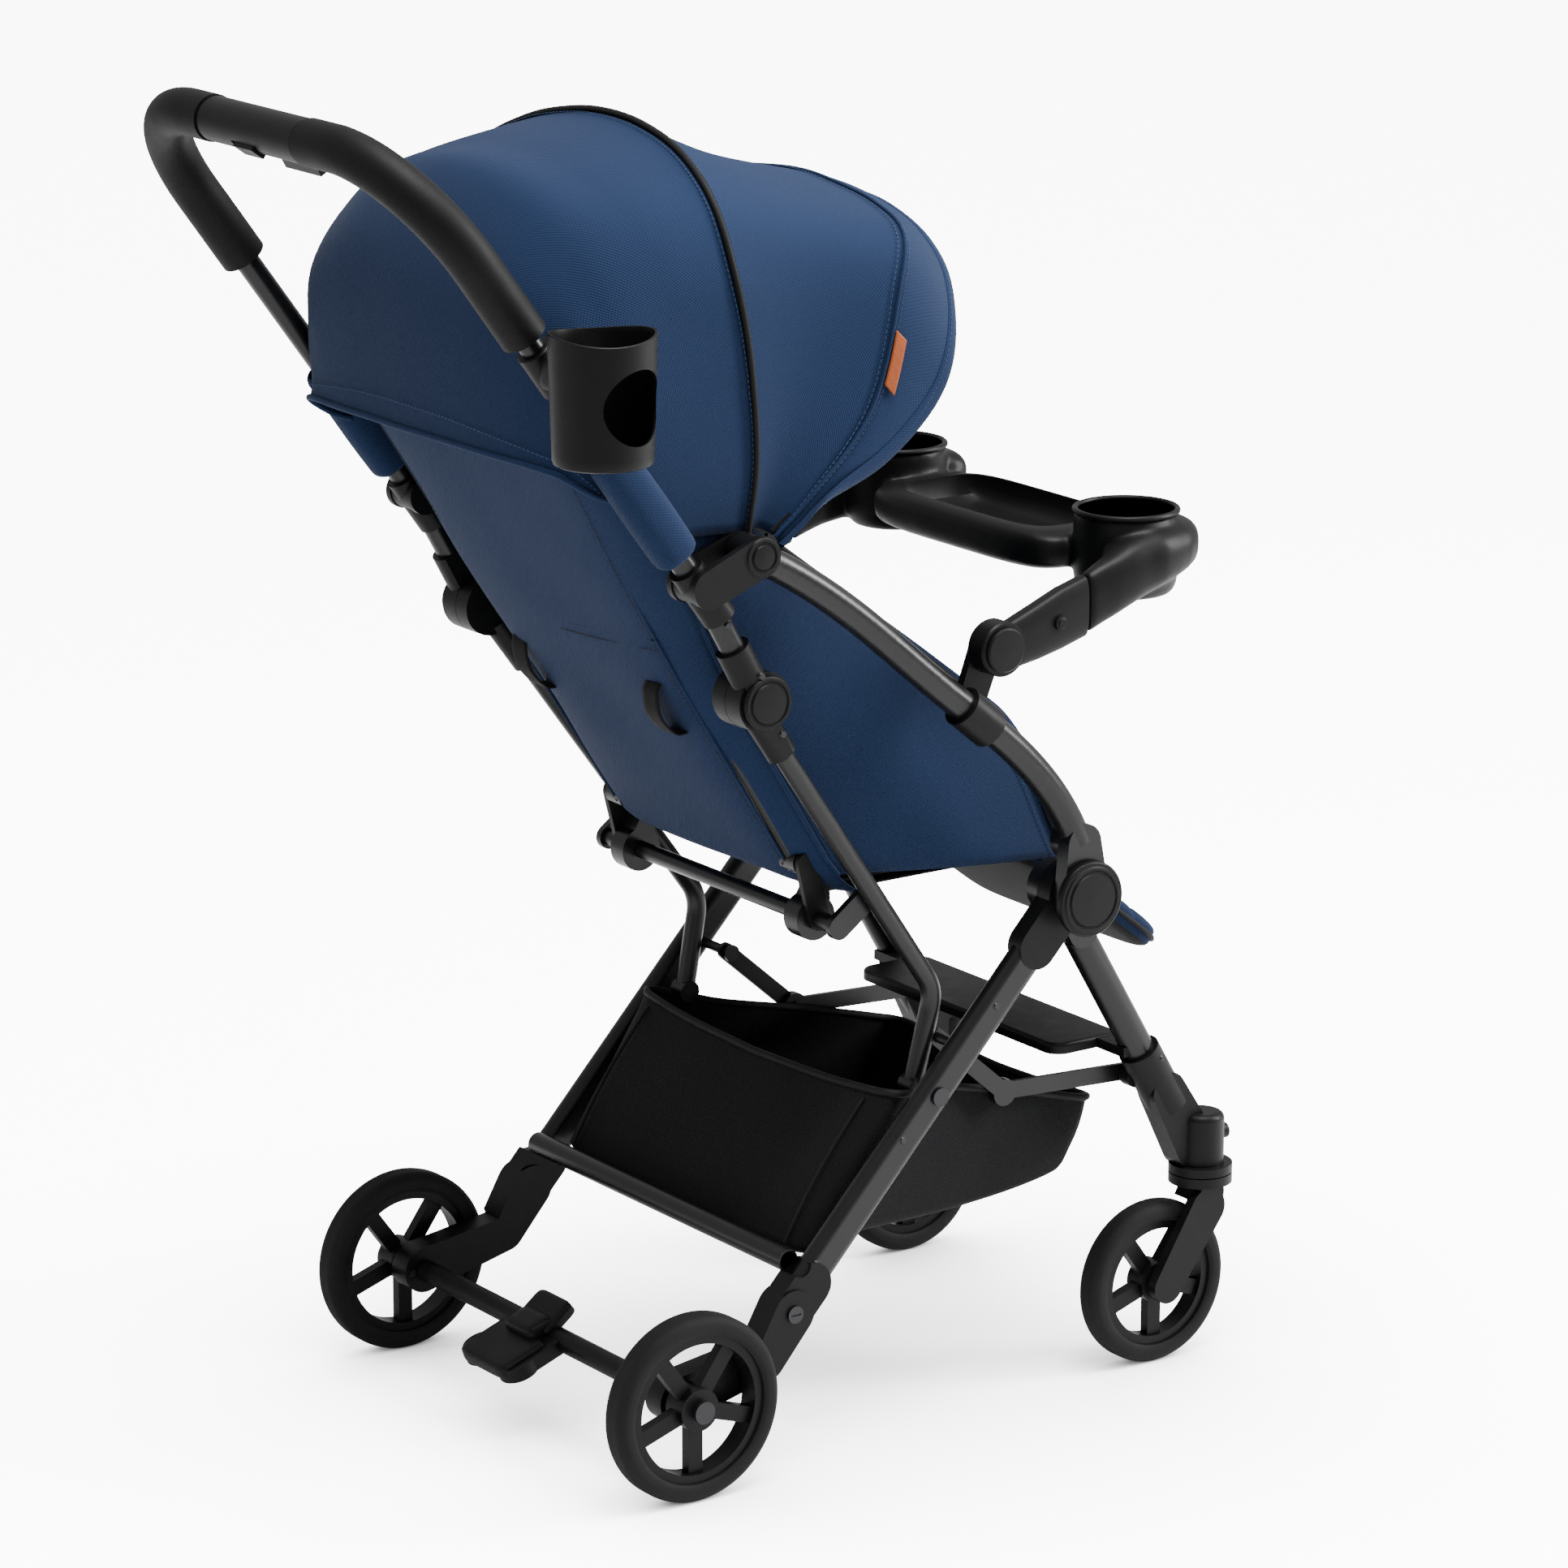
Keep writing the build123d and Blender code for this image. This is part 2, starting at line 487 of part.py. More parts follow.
def build_tray():
    arm = disc(TRAY_PIVOT, 21.5, RAIL_Y - ARM_THICK / 2, RAIL_Y + ARM_THICK / 2)
    arm += taper(TRAY_PIVOT, 16.0, TRAY_ARM_END, 13.0, RAIL_Y - ARM_THICK / 2, RAIL_Y + ARM_THICK / 2)
    arm -= disc(TRAY_PIVOT, PIN_R + RUNNING, 0, 400.0)
    arm -= disc(TRAY_STUD, TRAY_BUTTON_R + RUNNING, RAIL_Y, RAIL_Y + 40.0)
    pair("tray_arms", arm)
    button = disc(TRAY_STUD, TRAY_BUTTON_R, RAIL_Y + 5.0, RAIL_Y + ARM_THICK / 2 + 3.5)
    left_right("tray_button", button)

    cup_r = CUP_BORE_R + CUP_WALL
    rim_z = CUP_RIM_Z
    floor_z = rim_z - CUP_DEPTH
    back_x = TRAY_ARM_END[0] + 14.0
    front_x = TRAY_FRONT[0]
    outline = Pos((back_x + front_x) / 2, 0) * RectangleRounded(front_x - back_x, 2 * TRAY_CUP_Y, 30.0)
    for side in (1, -1):
        outline += Pos(CUP_CENTRE_X, side * TRAY_CUP_Y) * Circle(cup_r + 2.0)
    deck_z = TRAY_FRONT[1] - 4.0
    body = Pos(0, 0, deck_z - 22.0) * extrude(outline, 26.0)
    for side in (1, -1):
        body += Pos(CUP_CENTRE_X, side * TRAY_CUP_Y, floor_z - CUP_WALL) * extrude(
            Circle(cup_r), CUP_DEPTH + CUP_WALL)
        body += Pos(CUP_CENTRE_X, side * TRAY_CUP_Y, rim_z - 7.0) * extrude(Circle(cup_r + 3.0), 7.0)
    middle = Pos((back_x + front_x) / 2, 0)
    recess = middle * RectangleRounded(front_x - back_x - 22.0, 2 * (TRAY_CUP_Y - 56.0), 20.0)
    body -= Pos(0, 0, deck_z - 12.0) * extrude(recess, 40.0)
    under = middle * RectangleRounded(front_x - back_x - 8.0, 2 * (TRAY_CUP_Y - 40.0), 20.0)
    body -= Pos(0, 0, deck_z - 24.0) * extrude(under, 8.0)
    for side in (1, -1):
        bore_place = Pos(CUP_CENTRE_X, side * TRAY_CUP_Y, floor_z)
        bore = bore_place * extrude(Circle(CUP_BORE_R), CUP_DEPTH + 20.0)
        body -= bore
        reach = taper(
            (back_x + 14.0, TRAY_ARM_END[1] + 6.0), 13.0, (TRAY_ARM_END[0] + 14.0, TRAY_ARM_END[1]), 13.0,
            RAIL_Y - ARM_THICK / 2, RAIL_Y + ARM_THICK / 2)
        horn_in = TRAY_CUP_Y + 9.0
        horn_out = RAIL_Y + 8.0
        horn_place = Pos(back_x + 22.0, (horn_in + horn_out) / 2, deck_z - 14.0)
        horn = horn_place * Box(40.0, horn_out - horn_in, 16.0)
        horn = horn if side > 0 else other(horn)
        reach = reach if side > 0 else other(reach)
        body += (reach + horn) - bore
    arm_clear = disc(TRAY_ARM_END, 13.5, RAIL_Y - 40.0, RAIL_Y + 40.0)
    body = body - arm_clear - other(arm_clear)
    node("tray", body)


# ---------------------------------------------------------------- lower push tube and seat carrier


def lower_path():
    knee_y = LOWER_TOP_Y + (LOWER_Y - LOWER_TOP_Y) * 0.8
    return [at(along(HINGE, LOWER_BEND, 14.0), LOWER_TOP_Y), at(LOWER_BEND, knee_y), at(REAR_PIVOT, LOWER_Y)]


def build_lower_frame():
    path = FilletPolyline(*lower_path(), radius=34.0)
    core = sweep_round(path, LOWER_R)
    lower = core - sweep_round(path, LOWER_R - TUBE_WALL)
    lower += disc(REAR_PIVOT, LOWER_R + 1.0, LOWER_Y - LOWER_R, LOWER_Y + LOWER_R)
    pair("lower_tubes", lower)

    direction = along(HINGE, LOWER_BEND, 62.0)
    cheek = disc(HINGE, 23.5, LOWER_TOP_Y - LOWER_R, RAIL_Y - HANDLE_R - 0.6)
    start = at(along(HINGE, LOWER_BEND, 16.0), LOWER_TOP_Y)
    sleeve = rod([start, at(direction, LOWER_TOP_Y - 3.0)], LOWER_R + SLEEVE_WALL)
    sleeve = sleeve & plate(Rectangle(4000.0, 4000.0), 0.0, RAIL_Y - HANDLE_R - 0.6)
    sleeve = sleeve + cheek - core - disc(HINGE, 5.0 + RUNNING, 0, 400.0)
    pair("lower_sockets", sleeve)

    reach = seat_tube_anchor()
    carrier = rod([at(SEAT_PIVOT, reach[1] - 6.0), at(SEAT_PIVOT, -(reach[1] - 6.0))], SEAT_TUBE_R)
    for side in (1, -1):
        ear = link(SEAT_PIVOT, reach[0], 10.0, reach[1] - 12.0, reach[1] - 6.0)
        carrier += ear if side > 0 else other(ear)
    carrier = carrier - core - other(core)
    node("seat_cross_tube", carrier)


def seat_tube_anchor():
    point = along(HINGE, LOWER_BEND, 224.0)
    share = 224.0 / hypot(LOWER_BEND[0] - HINGE[0], LOWER_BEND[1] - HINGE[1])
    y = LOWER_TOP_Y + (LOWER_Y - LOWER_TOP_Y) * 0.8 * share
    return point, y - LOWER_R + 3.0 + 6.0


# ---------------------------------------------------------------- seat


def build_seat():
    y = SEAT_HALF_WIDTH - SEAT_TUBE_R
    back = (SEAT_PIVOT[0] + 6.0, SEAT_Z)
    path = FilletPolyline(at(back, y), at((SEAT_FRONT[0] - 8.0, SEAT_Z), y),
                          at((SEAT_FRONT[0] - 8.0, SEAT_Z), -y), at(back, -y), radius=30.0)
    frame = sweep_round(path, SEAT_TUBE_R)
    for side in (1, -1):
        casting = disc(SEAT_PIVOT, 18.0, y - 9.0, y + 9.0)
        casting += taper(SEAT_PIVOT, 14.0, (SEAT_PIVOT[0] + 6.0, SEAT_Z), SEAT_TUBE_R, y - 9.0, y + 9.0)
        frame += casting if side > 0 else other(casting)
    frame -= cylinder_cut(SEAT_PIVOT, SEAT_TUBE_R + RUNNING)
    node("seat_frame", frame)

    base = SEAT_Z + SEAT_TUBE_R
    length = SEAT_LENGTH + 6.0
    cushion = Pos(SEAT_PIVOT[0] + length / 2 + 4.0, 0, base) * extrude(
        RectangleRounded(length, 2 * SEAT_HALF_WIDTH, 20.0), CUSHION_THICK)
    node("seat_cushion", fillet(cushion.edges().group_by(Axis.Z)[-1], 10.0))

    low = base + 6.0
    lip = RAIL_R + 6.0
    rail_line = [(RAIL_BENDS[i][0] - lip, RAIL_BENDS[i][1]) for i in (0, 1, 2, 3)]
    panel = make_face(Polyline(
        (BACK_PIVOT[0] + 30.0, low), (SEAT_FRONT[0] - 24.0, low), *rail_line,
        (RAIL_TOP[0], RAIL_TOP[1] - 24.0), polar(BACK_PIVOT, 300.0, BACK_ANGLE - 9.0), close=True))
    pair("seat_side_panels", plate(panel, SIDE_PANEL_Y, SIDE_PANEL_Y + CLOTH))


def build_backrest():
    y = SEAT_HALF_WIDTH + 3.0
    bracket = link(SEAT_PIVOT, BACK_PIVOT, 9.0, y, y + 5.0)
    bracket -= cylinder_cut(SEAT_PIVOT, SEAT_TUBE_R + RUNNING)
    bracket += disc(BACK_PIVOT, PIN_R, y - 10.0, y)
    pair("recline_brackets", bracket)

    tube_y = SEAT_HALF_WIDTH - SEAT_TUBE_R - 2.0
    top = polar(BACK_PIVOT, BACK_LENGTH, BACK_ANGLE)
    path = FilletPolyline(
        at(BACK_PIVOT, tube_y), at(top, tube_y), at(top, -tube_y), at(BACK_PIVOT, -tube_y), radius=40.0)
    frame = sweep_round(path, SEAT_TUBE_R)
    boss = disc(BACK_PIVOT, 10.0, tube_y - 8.0, y - 0.6)
    frame = frame + boss + other(boss)
    frame -= cylinder_cut(BACK_PIVOT, PIN_R + RUNNING)
    node("backrest_frame", frame)

    lean = Pos(BACK_PIVOT[0], 0, BACK_PIVOT[1]) * Rot(0, 90.0 - BACK_ANGLE, 0)
    section = Pos(PAD_THICK / 2, 0) * RectangleRounded(PAD_THICK, 2 * (SEAT_HALF_WIDTH - 4.0), 12.0)
    pad = lean * Pos(SEAT_TUBE_R, 0, 18.0) * extrude(section, BACK_LENGTH - 10.0)
    node("backrest_pad", pad)


def build_harness():
    lean = Pos(BACK_PIVOT[0], 0, BACK_PIVOT[1]) * Rot(0, 90.0 - BACK_ANGLE, 0)
    front = SEAT_TUBE_R + PAD_THICK + 0.5
    strap = lean * Pos(front + 1.0, 58.0, 210.0) * Box(2.0, 26.0, 200.0)
    pad = lean * Pos(front + 4.0, 58.0, 240.0) * Box(4.0, 40.0, 110.0)
    pair("harness_straps", strap + pad)
    top = SEAT_Z + SEAT_TUBE_R + CUSHION_THICK
    crotch = Pos(SEAT_PIVOT[0] + 100.0, 0, top + 12.0) * Box(3.0, 26.0, 24.0)
    shell = Pos(SEAT_PIVOT[0] + 100.0, 0, top + 24.0) * extrude(RectangleRounded(18.0, 52.0, 8.0), 40.0)
    button_place = Pos(SEAT_PIVOT[0] + 109.0, 0, top + 46.0) * Rot(0, 90, 0)
    shell -= button_place * Cylinder(BUCKLE_BUTTON_R + RUNNING, 10.0)
    node("harness_buckle", shell + crotch)
    button = button_place * Cylinder(BUCKLE_BUTTON_R, 5.0)
    node("buckle_button", button)


def build_footrest():
    place = Pos(FOOTREST_PIVOT[0], 0, FOOTREST_PIVOT[1]) * Rot(0, -FOOTREST_SLOPE, 0)
    half = SEAT_HALF_WIDTH - 6.0
    board = place * Pos(FOOTREST_LENGTH / 2 + 10.0, 0, 0) * Box(FOOTREST_LENGTH - 8.0, 2 * half - 20.0, 6.0)
    roll = rod([at(FOOTREST_PIVOT, half), at(FOOTREST_PIVOT, -half)], 4.5)
    lug = place * Pos(8.0, 0, 0) * Box(16.0, 2 * half - 60.0, 6.0)
    node("footrest_board", board + roll + lug)
    cover = place * Pos(FOOTREST_LENGTH / 2 + 12.0, 0, 0) * Box(FOOTREST_LENGTH, 2 * half, FOOTREST_THICK)
    cover = fillet(cover.edges().filter_by(Axis.Y), 5.0)
    cover -= place * Pos(FOOTREST_LENGTH / 2 + 9.5, 0, 0) * Box(FOOTREST_LENGTH - 5.0, 2 * half - 19.0, 6.6)
    node("footrest_cover", cover)


# ---------------------------------------------------------------- push handle


def handle_path():
    left = [at(HANDLE_LOW, RAIL_Y), at(HANDLE_BEND, RAIL_Y), at(BAR, RAIL_Y)]
    right = [(x, -y, z) for x, y, z in reversed(left)]
    return left, right


def build_handle():
    left, right = handle_path()
    top = FilletPolyline(*(left + right), radius=HANDLE_BEND_R)
    core = sweep_round(top, HANDLE_R)
    node("handle_tube", core - sweep_round(top, HANDLE_R - TUBE_WALL))

    low = polar(BAR, -GRIP_LENGTH, slope(HANDLE_BEND, BAR))
    grip_path = FilletPolyline(
        at(low, RAIL_Y), at(BAR, RAIL_Y), at(BAR, HOUSING_HALF + 0.5), radius=HANDLE_BEND_R)
    grip = sweep_round(grip_path, GRIP_R) - sweep_round(grip_path, HANDLE_R)
    pair("handle_grips", grip)

    housing = disc(BAR, GRIP_R - 1.0, -HOUSING_HALF, HOUSING_HALF)
    housing = fillet(housing.edges(), 3.0)
    housing -= core
    window = Pos(BAR[0], 0, BAR[1]) * Rot(0, -145, 0) * Pos(0, 4.0, GRIP_R)
    housing -= window * Box(BUTTON_WIDTH + 1.0, BUTTON_LENGTH + 8.0, 9.0)
    slot = Pos(BAR[0], 0, BAR[1]) * Rot(0, -120, 0) * Pos(-GRIP_R, -36.0, 0)
    housing -= slot * Box(16.4, TRIGGER_LENGTH + 4.0, 13.0)
    node("handle_housing", housing)
    button = window * Pos(0, -2.0, -1.0) * Box(BUTTON_WIDTH, BUTTON_LENGTH, 4.5)
    node("fold_button", button - sweep_round(top, HANDLE_R + 0.5))
    lever = slot * Pos(1.0, 0, 0) * Box(4.5, TRIGGER_LENGTH, 11.0)
    lever += slot * Pos(-6.0, 0, 0.0) * Box(12.0, TRIGGER_LENGTH, 5.0)
    node("fold_trigger", lever - sweep_round(top, HANDLE_R + 0.5))

    barrel = disc(HINGE, 23.5, RAIL_Y - HANDLE_R, RAIL_Y + HANDLE_R)
    sleeve_low = at(along(HINGE, HANDLE_LOW, 8.0), RAIL_Y)
    sleeve_ends = [sleeve_low, at(along(HANDLE_LOW, HANDLE_BEND, 32.0), RAIL_Y)]
    outside = plate(Rectangle(4000.0, 4000.0), RAIL_Y - HANDLE_R, RAIL_Y + 40.0)
    barrel += rod(sleeve_ends, HANDLE_R + SLEEVE_WALL) & outside
    barrel -= core
    barrel -= disc(HINGE, 5.0, 0, 400.0)
    barrel += disc(HINGE, 5.0, LOWER_TOP_Y - LOWER_R - 1.0, RAIL_Y + HANDLE_R)
    barrel += disc(HINGE, 20.0, RAIL_Y + HANDLE_R, RAIL_Y + HANDLE_R + 3.0)
    pair("hinge_barrels", barrel)

    anchor = along(HANDLE_BEND, BAR, 14.0)
    bracket = rod([at(along(HANDLE_BEND, BAR, -18.0), RAIL_Y), at(along(HANDLE_BEND, BAR, 32.0), RAIL_Y)],
                  HANDLE_R + SLEEVE_WALL)
    outer = taper(anchor, 15.0, RAIL_TOP, 16.0, RAIL_END_OUT + GAP, RAIL_END_OUT + GAP + PLATE)
    inner = taper(anchor, 15.0, RAIL_TOP, 14.0, RAIL_IN - GAP - PLATE, RAIL_IN - GAP)
    web = disc(anchor, 14.0, RAIL_IN - GAP - PLATE, RAIL_END_OUT + GAP + PLATE)
    bracket = bracket + outer + inner + web
    bracket -= core
    bracket += disc(RAIL_TOP, PIN_R, CANOPY_IN - 2.0, RAIL_END_OUT + GAP + PLATE)
    pair("pivot_brackets", bracket)


def build_parent_cup():
    clip_at = polar(BAR, -CUP_CLIP_DROP, slope(HANDLE_BEND, BAR))
    centre = (clip_at[0] + 6.0, clip_at[1] - 12.0)
    outer_r = PARENT_CUP_R + CUP_WALL
    y = -(RAIL_Y + GRIP_R + outer_r + 8.0)
    bottom = centre[1] - PARENT_CUP_DEPTH / 2
    cup = Pos(centre[0], y, bottom) * extrude(Circle(outer_r), PARENT_CUP_DEPTH)
    cup += Pos(centre[0], y, bottom + PARENT_CUP_DEPTH - 5.0) * extrude(Circle(outer_r + 1.5), 5.0)
    cup -= Pos(centre[0], y, bottom + CUP_WALL) * extrude(Circle(PARENT_CUP_R), PARENT_CUP_DEPTH)
    clip = rod([at(along(clip_at, BAR, -20.0), -RAIL_Y), at(along(clip_at, BAR, 20.0), -RAIL_Y)],
               HANDLE_R + SLEEVE_WALL)
    reach = Pos(clip_at[0], -(RAIL_Y + 20.0), clip_at[1]) * Box(26.0, 32.0, 26.0)
    clip = clip + reach
    clip -= Pos(centre[0], y, bottom) * extrude(Circle(PARENT_CUP_R), PARENT_CUP_DEPTH)
    cup = cup + clip
    cup -= rod([at(along(clip_at, BAR, -60.0), -RAIL_Y), at(along(clip_at, BAR, 60.0), -RAIL_Y)], HANDLE_R)
    node("parent_cup_holder", cup)


# ---------------------------------------------------------------- canopy


def bow_points(angle, crown, half, drop=46.0):
    """Hoop in the plane through the pivot line: legs, shoulders and a slightly bowed crown."""
    start = polar(CANOPY_PIVOT, 16.0, angle)
    side = polar(CANOPY_PIVOT, crown - drop, angle)
    top = polar(CANOPY_PIVOT, crown, angle)
    left = [at(start, half), at(side, half), at(top, half * 0.42)]
    return left + [(x, -y, z) for x, y, z in reversed(left)]


def build_canopy_bow(name, angle, y0, y1):
    half = (y0 + y1) / 2
    path = FilletPolyline(*bow_points(angle, CANOPY_CROWN - 6.0, half), radius=34.0)
    bow = sweep_round(path, BOW_R - 0.2)
    for side in (1, -1):
        eye = disc(CANOPY_PIVOT, 11.0, y0, y1)
        eye += link(polar(CANOPY_PIVOT, 9.0, angle), polar(CANOPY_PIVOT, 30.0, angle), 5.0, y0, y1)
        bow += eye if side > 0 else other(eye)
    bow -= cylinder_cut(CANOPY_PIVOT, PIN_R + RUNNING)
    node(name, bow)


def bow_points_flat(crown, half, foot=34.0, drop=46.0):
    right = [(half, foot), (half, crown - drop), (half * 0.42, crown)]
    return right + [(-a, b) for a, b in reversed(right)]


def canopy_shell(a0, a1, crown0, crown1, half, foot):
    """Cloth between two hoop angles, as a closed shell of even thickness."""
    def loft_between(extra, low):
        sections = []
        for angle, crown in ((a0, crown0), (a1, crown1)):
            plane = Plane(origin=(CANOPY_PIVOT[0], 0, CANOPY_PIVOT[1]), x_dir=(0, 1, 0),
                          z_dir=(sin(radians(angle)), 0, -cos(radians(angle))))
            pts = bow_points_flat(crown - extra, half - extra, low)
            sections.append(plane * make_face(Polyline(*pts, close=True)))
        return loft(sections, ruled=True)
    wide = loft_between(0.0, foot)
    return wide - loft_between(CLOTH, foot - 30.0)


def build_canopy():
    build_canopy_bow("canopy_bow_mid", MID_BOW_ANGLE, CANOPY_OUT - 8.0, CANOPY_OUT - 1.5)
    build_canopy_bow("canopy_bow_front", FRONT_BOW_ANGLE, CANOPY_IN - 1.0, CANOPY_IN + 5.5)
    lap = 1.6                     # degrees of bow covered by each cloth edge
    half = CANOPY_HALF_WIDTH + 4.0
    round_off = 60.0
    cloths = [
        ("canopy_rear", REAR_EDGE_ANGLE, MID_BOW_ANGLE + lap, CANOPY_CROWN - 30.0, CANOPY_CROWN),
        ("canopy_middle", MID_BOW_ANGLE - lap, FRONT_BOW_ANGLE + lap, CANOPY_CROWN, CANOPY_CROWN),
        ("canopy_visor", FRONT_BOW_ANGLE - lap, VISOR_ANGLE, CANOPY_CROWN, CANOPY_CROWN + 14.0),
    ]
    for name, start, end, start_reach, end_reach in cloths:
        node(name, canopy_shell(start, end, start_reach, end_reach, half, round_off))


# ---------------------------------------------------------------- write the parts
def main():
    build_wheels()
    build_rear_frame()
    build_basket()
    build_brake()
    build_front_frame()
    build_casters()
    build_struts()
    build_side_rails()
    build_tray()
    build_lower_frame()
    build_seat()
    build_backrest()
    build_harness()
    build_footrest()
    build_handle()
    build_parent_cup()
    build_canopy()
    os.makedirs("parts", exist_ok=True)
    for name, shapes in NODES.items():
        solids = [solid for shape in shapes for solid in shape.solids()]
        export_step(Compound(label=name, children=solids), f"parts/{name}.step")
        print(name, len(solids))


main()
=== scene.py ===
# %% [markdown]
# # A folding baby stroller
# The stroller is a frame of painted tubes with black moulded joints, and a seat, canopy and basket sewn
# from woven cloth. The frame arrives finished, as solid parts. This lesson gives every part its finish
# and builds the soft pieces, which a solid modeller can only block out.

import json
import math

import bmesh
import bpy
import numpy as np
from mathutils import Matrix, Vector, noise


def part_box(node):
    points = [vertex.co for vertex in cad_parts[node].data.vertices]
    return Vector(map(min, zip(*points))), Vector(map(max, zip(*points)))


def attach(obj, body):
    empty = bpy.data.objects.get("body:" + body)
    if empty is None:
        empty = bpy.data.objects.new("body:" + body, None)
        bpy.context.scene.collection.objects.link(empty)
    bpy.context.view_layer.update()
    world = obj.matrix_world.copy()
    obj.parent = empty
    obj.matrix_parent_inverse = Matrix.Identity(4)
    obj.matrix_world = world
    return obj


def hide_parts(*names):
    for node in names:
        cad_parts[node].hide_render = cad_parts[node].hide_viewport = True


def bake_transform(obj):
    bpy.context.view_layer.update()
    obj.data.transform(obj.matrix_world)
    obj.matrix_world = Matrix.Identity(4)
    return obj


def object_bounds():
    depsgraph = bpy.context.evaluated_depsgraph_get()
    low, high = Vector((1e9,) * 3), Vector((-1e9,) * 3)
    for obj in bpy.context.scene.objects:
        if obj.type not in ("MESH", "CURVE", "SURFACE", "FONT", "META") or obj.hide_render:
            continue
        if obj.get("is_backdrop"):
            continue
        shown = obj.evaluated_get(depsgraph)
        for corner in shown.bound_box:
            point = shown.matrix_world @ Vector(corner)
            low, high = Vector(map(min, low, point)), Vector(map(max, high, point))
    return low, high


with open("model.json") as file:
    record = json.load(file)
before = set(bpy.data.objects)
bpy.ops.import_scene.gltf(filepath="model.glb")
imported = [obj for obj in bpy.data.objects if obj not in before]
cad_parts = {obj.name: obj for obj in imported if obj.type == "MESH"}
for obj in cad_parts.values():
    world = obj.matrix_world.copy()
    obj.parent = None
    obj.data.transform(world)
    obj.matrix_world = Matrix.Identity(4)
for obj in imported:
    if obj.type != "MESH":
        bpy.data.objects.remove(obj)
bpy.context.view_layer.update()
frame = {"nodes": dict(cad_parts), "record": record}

MM = 0.001
TAU = 2.0 * math.pi
SIDES = (("left", 1), ("right", -1))

# %% [markdown]
# ## Camera
# A long lens far away keeps the wheels nearly round, as in a catalogue picture. A nearer, wider lens would
# take in as much, but it would swell the near wheels and shrink the far ones.

# %% Camera
EYE = Vector((-2.5592, -3.9619, 1.7847))
LOOK = Vector((0.5565, 0.7895, -0.2591))
camera = bpy.data.objects.new("camera", bpy.data.cameras.new("camera"))
bpy.context.scene.collection.objects.link(camera)
camera.location = EYE
camera.rotation_euler = LOOK.to_track_quat("-Z", "Y").to_euler()
camera.data.lens = 145.27
camera.data.sensor_width = 36.0
bpy.context.scene.camera = camera
print("camera distance", round(EYE.length, 2))

# %% [markdown]
# ## Finishes
# The real frame is painted tube, its joints are moulded plastic, and the soft parts are woven cloth. Each
# kind could be one flat colour, but then large areas look like paper. A small class adds nodes to one
# shader, and three functions use it, so that all paint, all plastic and all cloth share one recipe.

# %% Finish helpers
def set_node(node, **values):
    """Set sockets of a shader node by name, with _ standing for a space."""
    for key, value in values.items():
        node.inputs[key.replace("_", " ")].default_value = value
    return node


class Finish:
    """A material with a Principled shader, and short ways to add nodes to it."""

    def __init__(self, name, colour, roughness, **settings):
        self.material = bpy.data.materials.new(name)
        self.material.use_nodes = True
        self.nodes = self.material.node_tree.nodes
        self.links = self.material.node_tree.links
        self.shader = self.nodes["Principled BSDF"]
        self.shader.inputs["Base Color"].default_value = (*colour, 1.0)
        self.shader.inputs["Roughness"].default_value = roughness
        set_node(self.shader, **settings)
        self.colour = colour

    def add(self, kind, **values):
        return set_node(self.nodes.new(kind), **values)

    def math(self, operation, a, b=0.0):
        node = self.nodes.new("ShaderNodeMath")
        node.operation = operation
        for socket, value in zip(node.inputs, (a, b)):
            if isinstance(value, (int, float)):
                socket.default_value = value
            else:
                self.links.new(value, socket)
        return node.outputs[0]

    def place(self, kind="Object"):
        return self.nodes.new("ShaderNodeTexCoord").outputs[kind]

    def noise(self, scale, detail=3.0, where=None):
        node = self.add("ShaderNodeTexNoise", Scale=scale, Detail=detail)
        self.links.new(where or self.place(), node.inputs["Vector"])
        return node.outputs["Fac"]

    def tint(self, factor, low, high):
        """Colour the surface from low to high, as shares of its own colour."""
        ramp = self.nodes.new("ShaderNodeValToRGB")
        ramp.color_ramp.elements[0].color = (*[c * low for c in self.colour], 1.0)
        ramp.color_ramp.elements[1].color = (*[c * high for c in self.colour], 1.0)
        self.links.new(factor, ramp.inputs["Fac"])
        self.links.new(ramp.outputs["Color"], self.shader.inputs["Base Color"])

    def rough(self, factor, low, high):
        ramp = self.nodes.new("ShaderNodeMapRange")
        set_node(ramp, To_Min=low, To_Max=high)
        self.links.new(factor, ramp.inputs["Value"])
        self.links.new(ramp.outputs["Result"], self.shader.inputs["Roughness"])

    def bump(self, height, distance, strength=1.0, under=None):
        node = self.add("ShaderNodeBump", Distance=distance, Strength=strength)
        self.links.new(height, node.inputs["Height"])
        if under is not None:
            self.links.new(under, node.inputs["Normal"])
        self.links.new(node.outputs["Normal"], self.shader.inputs["Normal"])
        return node.outputs["Normal"]


def painted(name, colour, roughness, metallic):
    """Satin paint: faint mottling, and a slight orange peel."""
    finish = Finish(name, colour, roughness, Metallic=metallic, Specular_IOR_Level=0.3)
    finish.rough(finish.noise(35.0, 4.0), roughness - 0.07, roughness + 0.09)
    finish.tint(finish.noise(9.0, 2.0), 0.85, 1.15)
    finish.bump(finish.noise(1400.0, 2.0), 0.00006, 0.5)
    return finish.material


def moulded(name, colour, roughness, grain, depth):
    """Moulded plastic or foam: an even fine grain from the mould."""
    finish = Finish(name, colour, roughness, Specular_IOR_Level=0.11)
    finish.tint(finish.noise(14.0, 3.0), 0.8, 1.25)
    finish.rough(finish.noise(60.0, 3.0), roughness - 0.05, roughness + 0.07)
    finish.bump(finish.noise(grain, 2.0), depth, 0.6)
    return finish.material


